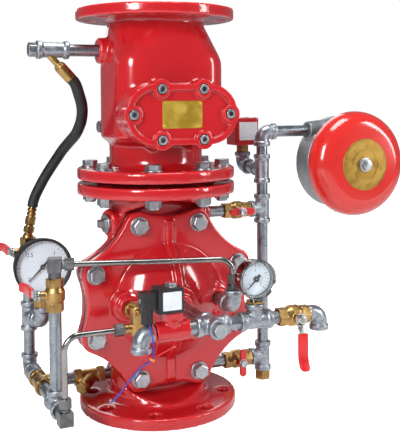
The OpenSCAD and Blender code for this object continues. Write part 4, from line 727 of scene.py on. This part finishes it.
gong_x = 0.4
gong_axis = 0.427
bell_back = -0.04
bell_front = -0.08
axle_hole = 0.0065
bend_centre = (0.0685, 0.006)
bend_steps = 14
inner_round = arc(bend_centre, 0.03, 90, 0, bend_steps)
outer_round = arc(bend_centre, 0.034, 0, 90, bend_steps)
bell_lip = [(0.0985, 0.0005), (0.0995, 0), (0.1015, 0), (0.1025, 0.0008)]
bell_profile = [(axle_hole, 0.036)] + inner_round + bell_lip + outer_round + [(axle_hole, 0.04)]
bell = turned("gong_bell", bell_profile, 128)
only(bell)
bpy.ops.object.shade_smooth_by_angle(angle=math.radians(40))
gong_red = surface("gong_red", (0.56, 0.018, 0.014), (0.62, 0.024, 0.018), scale=6,
                   rough=(0.13, 0.2), grain=(140, 0.08), coat=0.5)
paint(bell, gong_red)

plate_face = 0.001
ring_slope = 0.0007


def plate_ring(outer, flat, level):
    """Profile of a ring that is sunk in the plate's face or stands on it."""
    inner = outer - ring_slope - flat
    return [(outer, plate_face), (outer - ring_slope, level),
            (inner, level), (inner - ring_slope, plate_face)]


plate_profile = [(0.05, 0), (0.05, 0.0006), (0.0495, plate_face)]
for outer, flat, level in ((0.0485, 0.0013, 0.0005), (0.03, 0.0013, 0.0005), (0.017, 0.0018, 0.0014)):
    plate_profile += plate_ring(outer, flat, level)
gong_plate = turned("gong_plate", plate_profile + [(axle_hole, plate_face)], 96)
old_gilt = surface("old_gilt", (0.3, 0.17, 0.03), (0.42, 0.26, 0.06), scale=60,
                   rough=(0.3, 0.45), metallic=0.9)
soften(gong_plate, 0.0001, 20)
paint(gong_plate, old_gilt)
for piece, depth in ((bell, bell_back), (gong_plate, bell_front)):
    stand(piece, (gong_x, depth, gong_axis), FRONT, RIGHT)
belongs(bell, "valve_set", "red_paint", "gong_shell")
belongs(gong_plate, "valve_set", "gold_plate", "brass_plates")
motor_grey = surface("motor_grey", (0.2, 0.215, 0.23), (0.28, 0.295, 0.31), scale=30,
                     rough=(0.3, 0.45), metallic=0.6, grain=(200, 0.25))
finished_copy("gong_motor", "motor_case", motor_grey, "zinc", voxel=0.0017, passes=6)
finished_copy("gong_axle", "gong_axle_turned", zinc_plate, "steel", voxel=0.001, passes=2)
dress(iron_and_socket_shade, "gong_rotor")


# Solenoid valve
# A red pilot body with a steel plunger inside, a moulded black coil under a nut, a bare pale label on the
# coil's front, and a black plug with its gland below.
coil_nut_foot = 0.2717
coil_label_place = (-0.0725, -0.262, 0.2525)
plug_screw_place = (-0.1175, -0.245, 0.2535)
black_plastic = surface("black_plastic", (0.008, 0.008, 0.009), (0.016, 0.016, 0.018), scale=80,
                        rough=(0.35, 0.5), grain=(700, 0.2))
finished_copy("solenoid_body", "solenoid_casting", red_enamel, "red_paint", voxel=0.0009, passes=4)
dress(spring_steel, "solenoid_plunger")
coil = rounded_copy("solenoid_coil", "coil_moulding", voxel=0.0007, passes=4)
paint(coil, black_plastic, zinc_plate)
for face in coil.data.polygons:
    face.material_index = 1 if face.center.z > coil_nut_foot else 0
belongs(coil, "valve_set", "black_plastic", "solenoid_coil")
coil_label = slab("coil_label", 0.03, 0.028, thick=0.0006, corner=0.0015, rim=0.0008, sink=0.0001)
soften(coil_label, 0.0001)
paint(coil_label, label_pale)
stand(coil_label, coil_label_place, FRONT, RIGHT)
belongs(coil_label, "valve_set", "dial_white")
finished_copy("solenoid_connector", "plug_moulding", black_plastic, "black_plastic", voxel=0.0006, passes=4)
plug_screw = turned("plug_screw", [(0.0036, 0), (0.0036, 0.0014), (0.003, 0.002)], 24)
soften(plug_screw, 0.0003)
paint(plug_screw, zinc_plate)
stand(plug_screw, plug_screw_place, -RIGHT, UP)
belongs(plug_screw, "valve_set", "zinc")


# Hose and wires
# A black rubber hose with a woven core hangs from the side port of the check valve down to its valve. A
# red and a blue insulated wire leave the plug, held by an orange tie, with stripped ends that hang free.
def drawn_line(name, points, diameter):
    curve = bpy.data.curves.new(name, "CURVE")
    curve.dimensions = "3D"
    curve.bevel_depth = diameter / 2
    curve.bevel_resolution = 8
    curve.use_fill_caps = True
    curve.resolution_u = 8
    run = curve.splines.new("BEZIER")
    run.bezier_points.add(len(points) - 1)
    for knot, point in zip(run.bezier_points, points):
        knot.co = point
        knot.handle_left_type = "AUTO"
        knot.handle_right_type = "AUTO"
    piece = bpy.data.objects.new(name, curve)
    bpy.context.collection.objects.link(piece)
    return piece


hose_diameter = 0.02
hose_points = [(-0.15565, 0, 0.59224), (-0.1502, 0, 0.58639), (-0.142, 0.002, 0.566), (-0.134, 0.011, 0.543),
               (-0.131, 0.026, 0.522), (-0.131, 0.046, 0.505), (-0.132, 0.069, 0.491), (-0.137, 0.091, 0.478),
               (-0.145, 0.111, 0.462), (-0.155, 0.126, 0.442), (-0.167, 0.137, 0.42), (-0.179, 0.144, 0.397),
               (-0.19344, 0.15, 0.363), (-0.19514, 0.15, 0.35315)]
hose = drawn_line("hose_line", hose_points, hose_diameter)
paint(hose, rubber)
belongs(hose, "valve_set", "rubber", "rubber_hose")

millimetre = 0.001
wire_diameter = 0.0024
wire_start = Vector((-0.103, -0.2535, 0.2177))
tie_step = Vector((-0.0045, -0.0152, -0.0465))
tie_way = (-0.5, 0, -0.86)
red_steps = [(2, 0, 0), (2, -2, -5), (3, -11, -15), (2, -14, -31), (-4, -13, -47), (-18, -13, -52),
             (-24, -13, -47), (-16, -13, -41), (0, -13, -44), (16, -11, -40), (30, -9, -36)]
blue_steps = [(-3, 0, 0), (-3, -3, -5), (-4, -14, -15), (-3, -17, -31), (-8, -17, -48), (-20, -17, -54),
              (-28, -16, -61), (-40, -7, -79), (-52, 5, -101), (-60, 15, -114)]
red_wire = surface("red_wire", (0.5, 0.008, 0.01), (0.6, 0.014, 0.016), scale=80, rough=(0.35, 0.45))
blue_wire = surface("blue_wire", (0.008, 0.03, 0.3), (0.015, 0.05, 0.4), scale=80, rough=(0.35, 0.45))
copper = surface("copper", (0.6, 0.28, 0.12), (0.75, 0.4, 0.2), scale=200, rough=(0.25, 0.4), metallic=1.0)
tie_orange = surface("tie_orange", (0.75, 0.16, 0.01), (0.85, 0.22, 0.015), scale=90, rough=(0.4, 0.5))
tie = turned("wire_tie", [(0.0036, 0), (0.0044, 0), (0.0044, 0.003), (0.0036, 0.003)], 24)
soften(tie, 0.0002)
paint(tie, tie_orange)
stand(tie, wire_start + tie_step, tie_way, FRONT)
belongs(tie, "valve_set", "red_wire")
for name, steps, skin, length, ties in (
        ("red", red_steps, red_wire, 0.136, [tie]),
        ("blue", blue_steps, blue_wire, 0.149, [])):
    points = [wire_start + Vector(step) * millimetre for step in steps]
    strand = drawn_line(name + "_wire_line", points, wire_diameter)
    paint(strand, skin)
    belongs(strand, "valve_set", name + "_wire", "wire_" + name)
    way = (points[-1] - points[-2]).normalized()
    bare = turned(name + "_wire_end", [(0.0008, -0.001), (0.0008, 0.0055), (0.0006, 0.006)], 12)
    soften(bare, 0.0001)
    paint(bare, copper)
    stand(bare, points[-1], way, UP)
    belongs(bare, "valve_set", "brass")


# Floor, light and camera
# A white floor under soft boxes in a dim studio with a white backdrop, seen from the left of the front,
# level with the check valve's cover.
floor_size = 14
floor_level = -0.0005
white = (1, 1, 1, 1)
floor_shade = surface("floor_shade", (0.86, 0.86, 0.86), (0.88, 0.88, 0.88), scale=2, rough=(0.7, 0.8))
bpy.ops.mesh.primitive_plane_add(size=floor_size, location=(0, 0, floor_level))
floor = bpy.context.object
floor.name = "floor"
floor_tree = floor_shade.node_tree
floor_shader = floor_tree.nodes["Principled BSDF"]
fill(floor_shader, {"Emission Color": white})
floor_rays = floor_tree.nodes.new("ShaderNodeLightPath")
wire(floor_tree, floor_rays, "Is Camera Ray", floor_shader, "Emission Strength")
paint(floor, floor_shade)

bpy.context.scene.view_settings.view_transform = "Standard"
world = bpy.data.worlds.new("studio")
world.use_nodes = True
studio = world.node_tree
room = studio.nodes["Background"]
fill(room, {"Color": (0.62, 0.66, 0.72, 1), "Strength": 0.3})
backdrop = studio.nodes.new("ShaderNodeBackground")
fill(backdrop, {"Color": white})
choice = studio.nodes.new("ShaderNodeMixShader")
seen = studio.nodes.new("ShaderNodeLightPath")
wire(studio, seen, "Is Camera Ray", choice, "Fac")
wire(studio, room, "Background", choice, 1)
wire(studio, backdrop, "Background", choice, 2)
wire(studio, choice, "Shader", studio.nodes["World Output"], "Surface")
bpy.context.scene.world = world


def soft_box(name, place, aim, size, power):
    bpy.ops.object.light_add(type="AREA", location=place)
    lamp = bpy.context.object
    lamp.name = name
    lamp.data.shape = "RECTANGLE"
    lamp.data.size = size[0]
    lamp.data.size_y = size[1]
    lamp.data.energy = power
    lamp.rotation_euler = (Vector(aim) - Vector(place)).to_track_quat("-Z", "Y").to_euler()


soft_box("key_light", (-1.7, -1.5, 1.3), aim=(0, 0, 0.35), size=(0.6, 1.1), power=48)
soft_box("fill_light", (1.7, -1.3, 1.0), aim=(0.1, 0, 0.35), size=(0.35, 1.4), power=22)
soft_box("top_light", (0.1, -0.3, 2.3), aim=(0, 0, 0.3), size=(1.1, 0.8), power=30)
soft_box("back_light", (0.4, 1.8, 1.5), aim=(0, 0, 0.4), size=(1.6, 1.2), power=14)

camera = bpy.data.cameras.new("photo_camera")
camera.lens = 67.335
camera.sensor_width = 36
camera.shift_y = -0.2
viewer = bpy.data.objects.new("photo_camera", camera)
viewer.location = (-0.51495, -1.39109, 0.55685)
viewer.rotation_euler = (math.radians(87.74), math.radians(0.382), math.radians(-23.453))
bpy.context.collection.objects.link(viewer)
bpy.context.scene.camera = viewer
